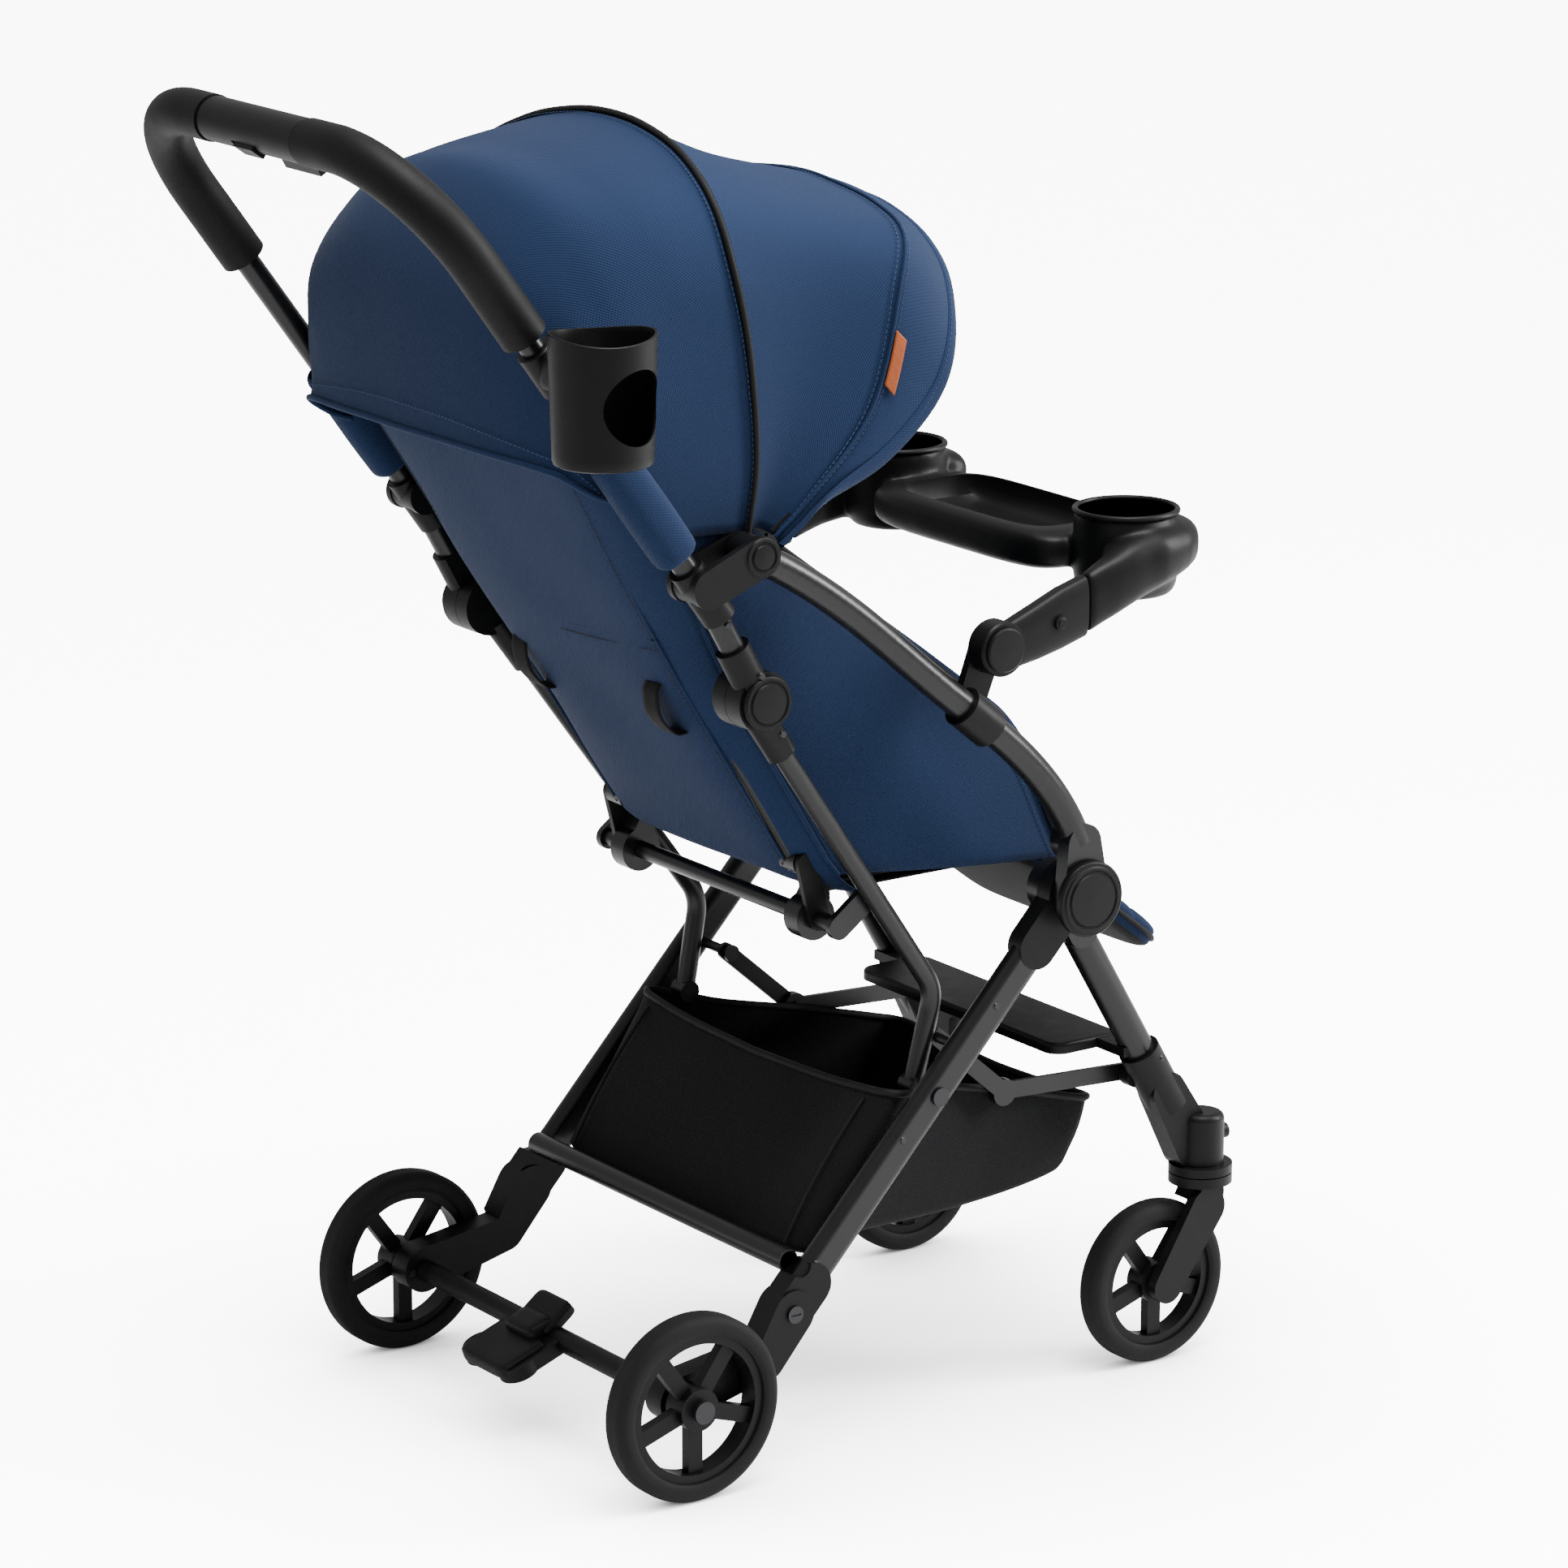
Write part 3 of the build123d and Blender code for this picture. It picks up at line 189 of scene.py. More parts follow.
def woven(name, colour, pitch, depth, contrast=0.22, sheen=0.03, source="UV"):
    """Woven cloth: warp and weft cross over each other every pitch, on the piece's own map in metres."""
    finish = Finish(name, colour, 0.82, Sheen_Weight=sheen, Sheen_Roughness=0.45, Specular_IOR_Level=0.08)
    split = finish.nodes.new("ShaderNodeSeparateXYZ")
    finish.links.new(finish.place(source), split.inputs[0])
    turns = TAU / pitch
    warp = finish.math("SINE", finish.math("MULTIPLY", split.outputs[0], turns))
    weft_place = split.outputs[1]
    if source == "Object":
        weft_place = finish.math("ADD", split.outputs[1], split.outputs[2])
    weft = finish.math("SINE", finish.math("MULTIPLY", weft_place, turns))
    weave = finish.math("MULTIPLY_ADD", finish.math("MULTIPLY", warp, weft), 0.5)
    weave.node.inputs[2].default_value = 0.5
    cloudy = finish.noise(5.0, 3.0)
    fuzz = finish.noise(700.0, 2.0)
    mixed = finish.math("ADD", finish.math("MULTIPLY", weave, 0.55), finish.math("MULTIPLY", cloudy, 0.3))
    mixed = finish.math("ADD", mixed, finish.math("MULTIPLY", fuzz, 0.15))
    finish.tint(mixed, 1.0 - contrast, 1.0 + contrast)
    soft = finish.bump(finish.noise(22.0, 3.0), 0.0012, 0.25)
    finish.bump(weave, depth, 0.8, under=soft)
    return finish.material


# %% Finishes
MATERIALS = {
    "tube_paint": painted("tube_paint", (0.004, 0.004, 0.0045), 0.3, 0.2),
    "black_plastic": moulded("black_plastic", (0.003, 0.003, 0.0032), 0.42, 1500.0, 0.00012),
    "steel": painted("steel", (0.03, 0.03, 0.032), 0.35, 0.9),
    "tyre": moulded("tyre", (0.006, 0.006, 0.0064), 0.7, 900.0, 0.0002),
    "foam": moulded("foam", (0.0024, 0.0024, 0.0026), 0.55, 1100.0, 0.00022),
    "navy_cloth": woven("navy_cloth", (0.006, 0.0145, 0.041), 0.0027, 0.0004),
    "black_cloth": woven("black_cloth", (0.0045, 0.0045, 0.005), 0.0022, 0.0004, 0.3, 0.03),
}
NAVY_PAD = woven("navy_pad_cloth", (0.0055, 0.013, 0.037), 0.0028, 0.0004, 0.25, 0.03, "Object")
PIPING = moulded("piping_cord", (0.006, 0.006, 0.0065), 0.6, 800.0, 0.0001)
LEATHER = moulded("leather_tab", (0.20, 0.048, 0.014), 0.5, 420.0, 0.0004)
THREAD = moulded("thread", (0.022, 0.040, 0.085), 0.7, 900.0, 0.0001)
DARK_THREAD = moulded("dark_thread", (0.02, 0.02, 0.022), 0.7, 900.0, 0.0001)
NAVY, BLACK_CLOTH, PLASTIC = [MATERIALS[name] for name in ("navy_cloth", "black_cloth", "black_plastic")]
for part in frame["record"]["subparts"]:
    mesh = frame["nodes"][part["node"]].data
    mesh.materials.clear()
    mesh.materials.append(MATERIALS[part["material_slot"]])
print("finishes:", len(bpy.data.materials))

# %% [markdown]
# ## Floor and light
# A catalogue picture stands on white paper. A lit white floor turns grey away from its lamps, so this one
# also glows, to the camera alone, and less where a wheel is near, which leaves soft shadows under it.
# Three large lamps give dark tubes long soft highlights.

# %% Floor and lamps
FLOOR_SIZE = 30.0
floor_mesh = bpy.data.meshes.new("floor")
half = FLOOR_SIZE / 2
floor_corners = [(-half, -half, 0), (half, -half, 0), (half, half, 0), (-half, half, 0)]
floor_mesh.from_pydata(floor_corners, [], [(0, 1, 2, 3)])
floor = bpy.data.objects.new("floor", floor_mesh)
bpy.context.scene.collection.objects.link(floor)
floor_finish = Finish("studio_floor", (0.95, 0.95, 0.95), 0.75, Emission_Color=(1.0, 1.0, 1.0, 1.0))
seen = floor_finish.nodes.new("ShaderNodeLightPath").outputs["Is Camera Ray"]
near = floor_finish.add("ShaderNodeAmbientOcclusion", Distance=0.55)
open_share = floor_finish.math("POWER", near.outputs["AO"], 2.0)
glow = floor_finish.math("MULTIPLY", seen, floor_finish.math("MULTIPLY", open_share, 9.0))
floor_finish.links.new(glow, floor_finish.shader.inputs["Emission Strength"])
floor_mesh.materials.append(floor_finish.material)
floor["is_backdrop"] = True
world = bpy.data.worlds.new("studio")
world.use_nodes = True
world.node_tree.nodes["Background"].inputs["Color"].default_value = (1.0, 1.0, 1.0, 1.0)
world.node_tree.nodes["Background"].inputs["Strength"].default_value = 0.75
bpy.context.scene.world = world


def lamp(name, place, aim, size, power):
    data = bpy.data.lights.new(name, "AREA")
    data.shape = "RECTANGLE"
    data.size, data.size_y = size
    data.energy = power
    light = bpy.data.objects.new(name, data)
    bpy.context.scene.collection.objects.link(light)
    light.location = place
    light.rotation_euler = (Vector(aim) - Vector(place)).to_track_quat("-Z", "Y").to_euler()


lamp("front_strip", (3.2, -1.6, 2.2), (0.2, 0.0, 0.6), (0.8, 2.6), 300.0)
lamp("top", (0.3, -0.6, 3.6), (0.1, 0.0, 0.6), (1.6, 1.6), 230.0)
lamp("back_fill", (-3.4, 0.8, 1.6), (0.0, 0.0, 0.6), (1.6, 2.2), 20.0)


# %% [markdown]
# ## Cloth helpers
# A sewn panel is a grid of points between its edges. Each edge is a smooth line through a few pinned
# points, as cloth is pulled between a few fixings. The grid's own map is in metres, so the weave keeps
# its size however the panel curves.

# %% Lines and grids
def smooth_line(points, count):
    """count points, evenly spaced, on a smooth line through the given points."""
    p = np.array(points, float)
    ends = np.vstack([2 * p[0] - p[1], p, 2 * p[-1] - p[-2]])
    dense = []
    for i in range(len(p) - 1):
        a, b, c, d = ends[i:i + 4]
        for t in np.linspace(0, 1, 16, endpoint=False):
            dense.append(0.5 * (2 * b + (c - a) * t + (2 * a - 5 * b + 4 * c - d) * t * t
                                + (3 * b - a - 3 * c + d) * t ** 3))
    dense = np.array(dense + [p[-1]])
    run = np.r_[0, np.cumsum(np.linalg.norm(np.diff(dense, axis=0), axis=1))]
    even = np.linspace(0, run[-1], count)
    return np.stack([np.interp(even, run, dense[:, k]) for k in range(3)], axis=1)


def hoop(near_half, count=97):
    """A whole hoop from the points of its right half, in millimetres, foot first, crown last."""
    right = [(x * MM, y * MM, z * MM) for x, y, z in near_half]
    left = [(x, -y, z) for x, y, z in reversed(right[:-1])]
    return smooth_line(right + left, count)


def across(rows, count):
    """Fill in smooth rows between the given rows, one smooth line for each column."""
    rows = np.array(rows)
    columns = [smooth_line(rows[:, j], count) for j in range(rows.shape[1])]
    return np.array(columns).transpose(1, 0, 2)


def unit(rows):
    return rows / np.linalg.norm(rows, axis=1, keepdims=True)


def shade_smooth(mesh):
    mesh.polygons.foreach_set("use_smooth", [True] * len(mesh.polygons))


def link(name, mesh):
    piece = bpy.data.objects.new(name, mesh)
    bpy.context.scene.collection.objects.link(piece)
    return piece


def settle(piece):
    """Make what the modifiers show the piece's plain mesh."""
    evaluated = piece.evaluated_get(bpy.context.evaluated_depsgraph_get())
    mesh = bpy.data.meshes.new_from_object(evaluated)
    mesh.name = piece.name
    if piece.type == "MESH":
        piece.modifiers.clear()
        piece.data = mesh
        return piece
    name = piece.name
    bpy.data.objects.remove(piece)
    return link(name, mesh)


def grid_piece(name, rows, material, thickness=1.2 * MM, outward=1.0, closed=False):
    """A cloth panel from rows of points, with its map in metres and a real thickness."""
    rows = np.array(rows)
    m, n = rows.shape[:2]
    mesh = bpy.data.meshes.new(name)
    wrap = n if closed else n - 1
    faces = [(i * n + j, i * n + (j + 1) % n, (i + 1) * n + (j + 1) % n, (i + 1) * n + j)
             for i in range(m - 1) for j in range(wrap)]
    mesh.from_pydata(rows.reshape(-1, 3).tolist(), [], faces)
    step_u = np.linalg.norm(np.diff(rows, axis=1), axis=2).mean(0)
    step_v = np.linalg.norm(np.diff(rows, axis=0), axis=2).mean(1)
    u = np.r_[0, np.cumsum(step_u)]
    v = np.r_[0, np.cumsum(step_v)]
    around = u[-1] + float(np.mean(step_u))
    layer = mesh.uv_layers.new(name="cloth_map")
    for polygon in mesh.polygons:
        i, j = divmod(polygon.index, wrap)
        corner_u = (u[j], u[j + 1] if j + 1 < n else around)
        spots = ((corner_u[0], v[i]), (corner_u[1], v[i]), (corner_u[1], v[i + 1]), (corner_u[0], v[i + 1]))
        for loop, spot in zip(polygon.loop_indices, spots):
            layer.data[loop].uv = spot
    shade_smooth(mesh)
    mesh.materials.append(material)
    piece = link(name, mesh)
    if thickness:
        wall = piece.modifiers.new("wall", "SOLIDIFY")
        wall.thickness = thickness
        wall.offset = outward
        settle(piece)
    return piece


def grid_area(rows):
    rows = np.array(rows)
    a = rows[1:, :-1] - rows[:-1, :-1]
    b = rows[:-1, 1:] - rows[:-1, :-1]
    return float(np.linalg.norm(np.cross(a, b), axis=2).sum())


def ripple(rows, centre, size, scale, seed):
    """Push a panel in and out from a centre by a little smooth noise, less towards its edges."""
    rows = np.array(rows)
    m, n = rows.shape[:2]
    for i in range(m):
        for j in range(n):
            edge = math.sin(math.pi * i / (m - 1)) ** 0.5 if 0 < i < m - 1 else 0.0
            p = Vector(rows[i, j])
            push = noise.noise(p * scale + Vector((seed, 0, 0))) * size * edge
            rows[i, j] += np.array((p - Vector(centre)).normalized()) * push
    return rows


# %% [markdown]
# ## Things that follow a path
# Piping, stitches and straps run along a line. One Geometry Nodes tree sweeps a round cord along a path,
# and another lays short stitches on it, so that a change of path carries them with it.

# %% Trees for piping and stitches
def new_tree(name, inputs, kinds, settings, wires):
    """A tree of named nodes, joined by wires written as "node.socket > node.socket".

    The settings come before the wires, because some sockets are there in one mode only.
    """
    tree = bpy.data.node_groups.new(name, "GeometryNodeTree")
    tree.interface.new_socket("Geometry", in_out="INPUT", socket_type="NodeSocketGeometry")
    for label, default in inputs:
        socket = tree.interface.new_socket(label, in_out="INPUT", socket_type="NodeSocketFloat")
        socket.default_value = default
    tree.interface.new_socket("Material", in_out="INPUT", socket_type="NodeSocketMaterial")
    tree.interface.new_socket("Geometry", in_out="OUTPUT", socket_type="NodeSocketGeometry")
    kinds = {"start": "NodeGroupInput", "end": "NodeGroupOutput", "paint": "GeometryNodeSetMaterial", **kinds}
    nodes = {label: tree.nodes.new(kind) for label, kind in kinds.items()}
    for (label, key), value in settings.items():
        setattr(nodes[label], key, value)
    for wire in wires + ["start.Material > paint.Material", "paint.Geometry > end.Geometry"]:
        (source, outlet), (target, inlet) = [spot.split(".") for spot in wire.split(" > ")]
        tree.links.new(nodes[source].outputs[outlet], nodes[target].inputs[inlet])
    return tree, nodes


PIPING_TREE, nodes = new_tree(
    "piping", [("Radius", 0.002)],
    {"ring": "GeometryNodeCurvePrimitiveCircle", "sweep": "GeometryNodeCurveToMesh",
     "smooth": "GeometryNodeSetShadeSmooth"}, {},
    ["start.Radius > ring.Radius", "start.Geometry > sweep.Curve", "ring.Curve > sweep.Profile Curve",
     "sweep.Mesh > smooth.Geometry", "smooth.Geometry > paint.Geometry"])
set_node(nodes["ring"], Resolution=10)
set_node(nodes["sweep"], Fill_Caps=True)

# A small body laid on each point of a line, turned to face along a vector.
LAY_KINDS = {"align": "FunctionNodeAlignRotationToVector", "lay": "GeometryNodeInstanceOnPoints",
             "real": "GeometryNodeRealizeInstances"}
LAY_WIRES = ["align.Rotation > lay.Rotation", "lay.Instances > real.Geometry",
             "real.Geometry > paint.Geometry"]
STITCH_TREE, nodes = new_tree(
    "stitches", [("Spacing", 0.004), ("Stitch Length", 0.0026), ("Radius", 0.00035)],
    {"split": "GeometryNodeResampleCurve", "stitch": "GeometryNodeMeshCylinder",
     "tangent": "GeometryNodeInputTangent", **LAY_KINDS},
    {("split", "mode"): "LENGTH", ("align", "axis"): "Z"},
    ["start.Geometry > split.Curve", "start.Spacing > split.Length", "start.Radius > stitch.Radius",
     "start.Stitch Length > stitch.Depth", "tangent.Tangent > align.Vector", "split.Curve > lay.Points",
     "stitch.Mesh > lay.Instance", *LAY_WIRES])
set_node(nodes["stitch"], Vertices=5)


def run_tree(name, tree, lines, **values):
    """Run a tree on one or more lines of points, and return the result as a plain mesh piece."""
    curve = bpy.data.curves.new(name, "CURVE")
    curve.dimensions = "3D"
    for points in lines:
        spline = curve.splines.new("POLY")
        spline.points.add(len(points) - 1)
        for spot, place in zip(spline.points, points):
            spot.co = (*place, 1.0)
    piece = link(name, curve)
    modifier = piece.modifiers.new("tree", "NODES")
    modifier.node_group = tree
    sockets = {s.name: s.identifier for s in tree.interface.items_tree if s.in_out == "INPUT"}
    for key, value in values.items():
        modifier[sockets[key.replace("_", " ")]] = value
    piece = settle(piece)
    print(name, "faces", len(piece.data.polygons))
    return piece


def piping(name, lines, radius, material=PIPING):
    return run_tree(name, PIPING_TREE, lines, Radius=radius, Material=material)


def stitches(name, lines, spacing=0.0045, length=0.003, radius=0.0004, material=THREAD):
    return run_tree(name, STITCH_TREE, lines, Spacing=spacing, Stitch_Length=length, Radius=radius,
                    Material=material)


# %% [markdown]
# ## The canopy
# The canopy is cloth stretched over two bent rods that turn on one pin at each side. It is made from
# hoops: the rear hem, the rear shoulder, the middle rod, the visor seam and the front edge.

# %% Canopy hoops
REAR_HEM = hoop([(-50, -184, 783), (-66, -184, 789), (-84, -182, 800), (-92, -176, 806), (-101, -150, 810),
                 (-108, -100, 812), (-111, -50, 813), (-112, 0, 813)])
REAR_WALL = hoop([(-30, -185, 766), (-56, -186, 800), (-80, -185, 850), (-87, -181, 878), (-98, -160, 904),
                  (-107, -110, 925), (-110, -50, 934), (-111, 0, 936)])
REAR_SHOULDER = hoop([(-10, -185, 747), (-26, -187, 800), (-42, -188, 870), (-54, -184, 918),
                      (-64, -160, 955), (-69, -110, 985), (-70, -50, 1000), (-70, 0, 1004)])
REAR_TOP = hoop([(25, -183, 746), (22, -187, 810), (14, -187, 890), (-4, -182, 946), (-10, -156, 984),
                 (-10, -100, 1006), (-9, -50, 1015), (-9, 0, 1018)])
MIDDLE_ROD = hoop([(72, -181, 744), (77, -185, 803), (69, -187, 884), (58, -182, 946), (57, -158, 990),
                   (66, -105, 1017), (71, -50, 1030), (72, 0, 1034)])
VISOR_SEAM = hoop([(97, -181, 738), (124, -184, 762), (182, -187, 827), (212, -181, 917), (232, -156, 950),
                   (243, -105, 964), (247, -50, 971), (249, 0, 974)])
FRONT_EDGE = hoop([(100, -180, 730), (138, -184, 757), (194, -186, 782), (243, -183, 820), (268, -174, 858),
                   (290, -140, 902), (303, -95, 928), (309, -45, 943), (311, 0, 948)])
CROWN_CENTRE = (90 * MM, 0.0, 840 * MM)


def hollow(rows, depth):
    """Cloth pulled over rods sinks a little between them."""
    rows = np.array(rows)
    for i, row in enumerate(rows):
        sink = depth * math.sin(math.pi * i / (len(rows) - 1))
        away = row - np.array(CROWN_CENTRE)
        rows[i] = row - unit(away) * sink
    return rows


rear_rows = across([REAR_HEM, REAR_WALL, REAR_SHOULDER, REAR_TOP, MIDDLE_ROD], 56)
rear_rows = ripple(rear_rows, CROWN_CENTRE, 3.5 * MM, 7.0, 1.3)
middle_rows = np.array([MIDDLE_ROD * (1 - t) + VISOR_SEAM * t for t in np.linspace(0, 1, 30)])
middle_rows = ripple(hollow(middle_rows, 7 * MM), CROWN_CENTRE, 2.5 * MM, 8.0, 4.1)
visor_rows = np.array([VISOR_SEAM * (1 - t) + FRONT_EDGE * t for t in np.linspace(0, 1, 16)])
visor_rows = ripple(hollow(visor_rows, -4 * MM), CROWN_CENTRE, 2.0 * MM, 8.0, 7.7)
front_rows = np.concatenate([middle_rows, visor_rows[1:]])
print("canopy cloth", round(grid_area(rear_rows), 3), round(grid_area(front_rows), 3), "square metres")

# %% Canopy cloth
canopy_rear = grid_piece("canopy_rear_cloth", rear_rows, NAVY)
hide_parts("canopy_rear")
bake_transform(canopy_rear)
canopy_front = grid_piece("canopy_front_cloth", front_rows, NAVY)
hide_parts("canopy_middle", "canopy_visor")
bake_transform(canopy_front)


# %% Canopy piping, binding and seams
def lifted(line, height):
    """A line moved outwards from the canopy's middle."""
    return line + unit(line - np.array(CROWN_CENTRE)) * height


def binding(name, line, inner, width, height):
    """A folded tape over a raw edge: a flattened tube whose section leans along the cloth."""
    rows = []
    count = 12
    lean = unit(inner - line)
    away = unit(line - np.array(CROWN_CENTRE))
    for k in range(count):
        turn = TAU * k / count
        over = lean * (width / 2 * (1 + math.cos(turn)) - 0.002)
        rows.append(line + over + away * height * math.sin(turn))
    rows = np.array(rows).transpose(1, 0, 2)
    return grid_piece(name, rows, NAVY, thickness=0.0, closed=True)


middle_piping = piping("canopy_middle_piping", [lifted(MIDDLE_ROD, 2.2 * MM)], 2.6 * MM)
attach(middle_piping, "canopy_mid")
ROD_R = 3.3 * MM
ROD_DEPTH = 4.6 * MM
for name, line, node, body in (("canopy_middle_rod", MIDDLE_ROD, "canopy_bow_mid", "canopy_mid"),
                               ("canopy_front_rod", VISOR_SEAM, "canopy_bow_front", "canopy_front")):
    rod = piping(name, [lifted(line, -ROD_DEPTH)], ROD_R, PLASTIC)
    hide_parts(node)
    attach(rod, body)
seam_line = lifted(VISOR_SEAM, 1.4 * MM)
front_trim = [
    piping("visor_seam_roll", [seam_line], 1.5 * MM, NAVY),
    stitches("visor_seam_stitches", [lifted(middle_rows[-2], 1.5 * MM), lifted(visor_rows[1], 1.5 * MM)]),
    binding("visor_binding", FRONT_EDGE, visor_rows[-4], 15 * MM, 2.2 * MM),
    stitches("visor_binding_stitches", [lifted(visor_rows[-3], 1.8 * MM)]),
    stitches("middle_piping_stitches", [lifted(middle_rows[1], 1.6 * MM)]),
]
for piece in front_trim:
    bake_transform(piece)
rear_trim = [
    stitches("rear_piping_stitches", [lifted(rear_rows[-2], 1.6 * MM)]),
    piping("rear_hem_roll", [REAR_HEM], 2.4 * MM, NAVY),
    stitches("rear_hem_stitches", [lifted(rear_rows[3], 1.6 * MM)]),
]
for piece in rear_trim:
    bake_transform(piece)

# %% [markdown]
# ## Leather tab
# A small blank tab of leather is sewn into the visor's seam. A flat card would float off the curved
# cloth, so the tab takes its points from the rows of the visor, moved outwards by its own height.

# %% Leather tab on the visor seam
TAB_SIZE = (8, 34)


def tab_rows():
    """A narrow strip that lies on the visor, with its back end in the seam."""
    share = 0.17
    column = int(share * 96)
    rows = []
    for k in range(TAB_SIZE[0]):
        row = []
        for step in range(TAB_SIZE[1]):
            t = step / (TAB_SIZE[1] - 1)
            at = column + t * 4.6
            low = int(at)
            base = VISOR_SEAM[low] * (low + 1 - at) + VISOR_SEAM[low + 1] * (at - low)
            toward = visor_rows[6][low] - VISOR_SEAM[low]
            toward = toward / np.linalg.norm(toward)
            row.append(base + toward * 0.012 * (k / (TAB_SIZE[0] - 1)) + toward * 0.001)
        rows.append(lifted(np.array(row), 4.0 * MM))
    return rows


tab = grid_piece("leather_tab", tab_rows(), LEATHER, thickness=1.6 * MM)
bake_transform(tab)

# %% [markdown]
# ## The seat tub
# The seat hangs in the frame as a tub: a back panel behind the child, a gusset at each side, and a sling
# under the cushion. The back panel reclines, and each gusset spans from the fixed frame to the backrest.

# %% Back panel
BACK_LOW = np.array((158.0, 448.0)) * MM
BACK_UP = np.array((-0.5225, 0.8526))
BACK_AHEAD = np.array((0.8526, 0.5225))
BACK_LONG = 450 * MM
BACK_TURN = math.radians(-31.5)


def ease(t):
    t = min(max(t, 0.0), 1.0)
    return t * t * (3 - 2 * t)


def tub_half_width(share):
    """The tub is as wide as the seat below, and as the canopy above."""
    return (144 + 34 * ease((share - 0.3) / 0.6)) * MM


def back_point(share, side):
    """A point of the back panel: share goes up it from 0 to 1, side across it from -1 to 1."""
    sag = 7 * (1 - side * side) * math.sin(math.pi * min(max(share, 0), 1))
    belly = (-3 - sag + 24 * abs(side) ** 7) * MM
    if share < 0:
        roll = -share / 0.12
        spot = BACK_LOW + np.array((0.062 * roll, -0.016 * math.sin(roll * 2.2)))
        spot = spot + BACK_AHEAD * belly * (1 - roll)
    else:
        spot = BACK_LOW + BACK_UP * BACK_LONG * share + BACK_AHEAD * belly
    return (spot[0], tub_half_width(share) * side, spot[1])


back_rows = [[back_point(share, side) for side in np.linspace(-1, 1, 72)]
             for share in np.linspace(-0.12, 1, 90)]
back_rows = ripple(back_rows, (0.3, 0, 0.8), 5 * MM, 9.0, 2.2)
back_panel = grid_piece("seat_back_panel", back_rows, NAVY, outward=-1.0)
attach(back_panel, "backrest")

# %% Side gussets, with their binding and piping
GUSSET_FRONT = [(414, 430), (399, 463), (378, 506), (341, 556),
                (308, 583), (281, 604), (199, 665), (112, 727)]
GUSSET_FRONT_Y = [144, 143, 145, 148, 150, 151, 154, 157]


def gusset_rows(side):
    front = smooth_line([(x * MM, side * y * MM, z * MM)
                         for (x, z), y in zip(GUSSET_FRONT, GUSSET_FRONT_Y)], 64)
    rows = []
    for k in range(64):
        share = k / 63
        start = np.array(back_point(share if k else -0.02, side))
        rows.append([start * (1 - t) + front[k] * t + np.array((0, side * 0.007 * math.sin(math.pi * t), 0))
                     for t in np.linspace(0, 1, 40)])
    return ripple(rows, (0.2, 0.0, 0.6), 3.5 * MM, 10.0, 3.0 + side)


for label, side in (("left", 1.0), ("right", -1.0)):
    rows = gusset_rows(side)
    front = rows[:, -1]
    gusset = grid_piece("seat_gusset_" + label, rows, NAVY, outward=side)
    trims = [
        binding("gusset_binding_" + label, front, rows[:, -3], 14 * MM, 2.6 * MM),
        piping("gusset_piping_" + label, [rows[:, -3] + np.array((0, side * 1.5 * MM, 0))], 2.4 * MM),
        stitches("gusset_stitches_" + label, [rows[:, -5] + np.array((0, side * 1.2 * MM, 0)),
                                              rows[:, 2] + np.array((0, side * 1.2 * MM, 0))]),
        piping("back_edge_piping_" + label, [rows[:, 0]], 2.0 * MM, NAVY),
    ]
    for piece in [gusset] + trims:
        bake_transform(piece)
    if side > 0:
        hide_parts("seat_side_panels")

# %% Flap between the back and the canopy
FLAP_COLUMNS = np.linspace(-0.93, 0.93, 60)
flap_rows = []
for t in np.linspace(0, 1, 10):
    flap_rows.append([np.array(back_point(0.93 + 0.17 * t, side)) + np.array((-0.002, 0, 0))
                      for side in FLAP_COLUMNS])
flap = grid_piece("recline_flap", flap_rows, NAVY, outward=-1.0)
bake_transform(flap)

# %% Webbing loops and seams on the back
def back_line(path, lift=-3.0):
    """A line on the back panel through (share, side) points, lift millimetres ahead of it."""
    points = []
    for share, side in path:
        x, y, z = back_point(share, side)
        points.append((x + BACK_AHEAD[0] * lift * MM, y, z + BACK_AHEAD[1] * lift * MM))
    return smooth_line(points, 60)


def strap(name, centre_line, across_way, width, thick, material):
    """Flat webbing: a strip of one width along a line, with a real thickness."""
    way = np.array(across_way, float)
    rows = [[point + way * width * s for s in np.linspace(-0.5, 0.5, 7)] for point in centre_line]
    return grid_piece(name, rows, material, thickness=thick)


back_seams = [
    stitches("back_panel_stitches", [back_line([(0.03, 0.8 * way), (0.5, 0.78 * way), (0.93, 0.76 * way)])
                                     for way in (-1, 1)]
             + [back_line([(0.52, -0.78), (0.52, 0), (0.52, 0.78)])], material=DARK_THREAD),
    piping("back_panel_seams", [back_line([(0.03, 0.82 * way), (0.5, 0.8 * way), (0.93, 0.78 * way)], -1.5)
                                for way in (-1, 1)]
           + [back_line([(0.54, -0.8), (0.54, 0), (0.54, 0.8)], -1.5)], 1.2 * MM, NAVY),
]
for side in (-1.0, 1.0):
    loop = [np.array(back_point(share, side * 0.62)) - np.array((BACK_AHEAD[0], 0, BACK_AHEAD[1])) * lift * MM
            for share, lift in ((0.33, 2), (0.345, 11), (0.39, 15), (0.43, 9), (0.445, 2))]
    label = "left" if side > 0 else "right"
    back_seams.append(strap("back_loop_" + label, smooth_line(loop, 24), (0, 1, 0), 20 * MM, 1.6 * MM,
                            BLACK_CLOTH))
for piece in back_seams:
    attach(piece, "backrest")

# %% Sling under the cushion
sling_rows = [[(x, 0.144 * s, 0.434 - 0.006 * (1 - s * s) * math.sin(math.pi * (x - 0.2) / 0.21)
                + 0.006 * abs(s) ** 8)
               for s in np.linspace(-1, 1, 50)] for x in np.linspace(0.205, 0.405, 36)]
sling = grid_piece("seat_sling", sling_rows, BLACK_CLOTH)
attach(sling, "seat")

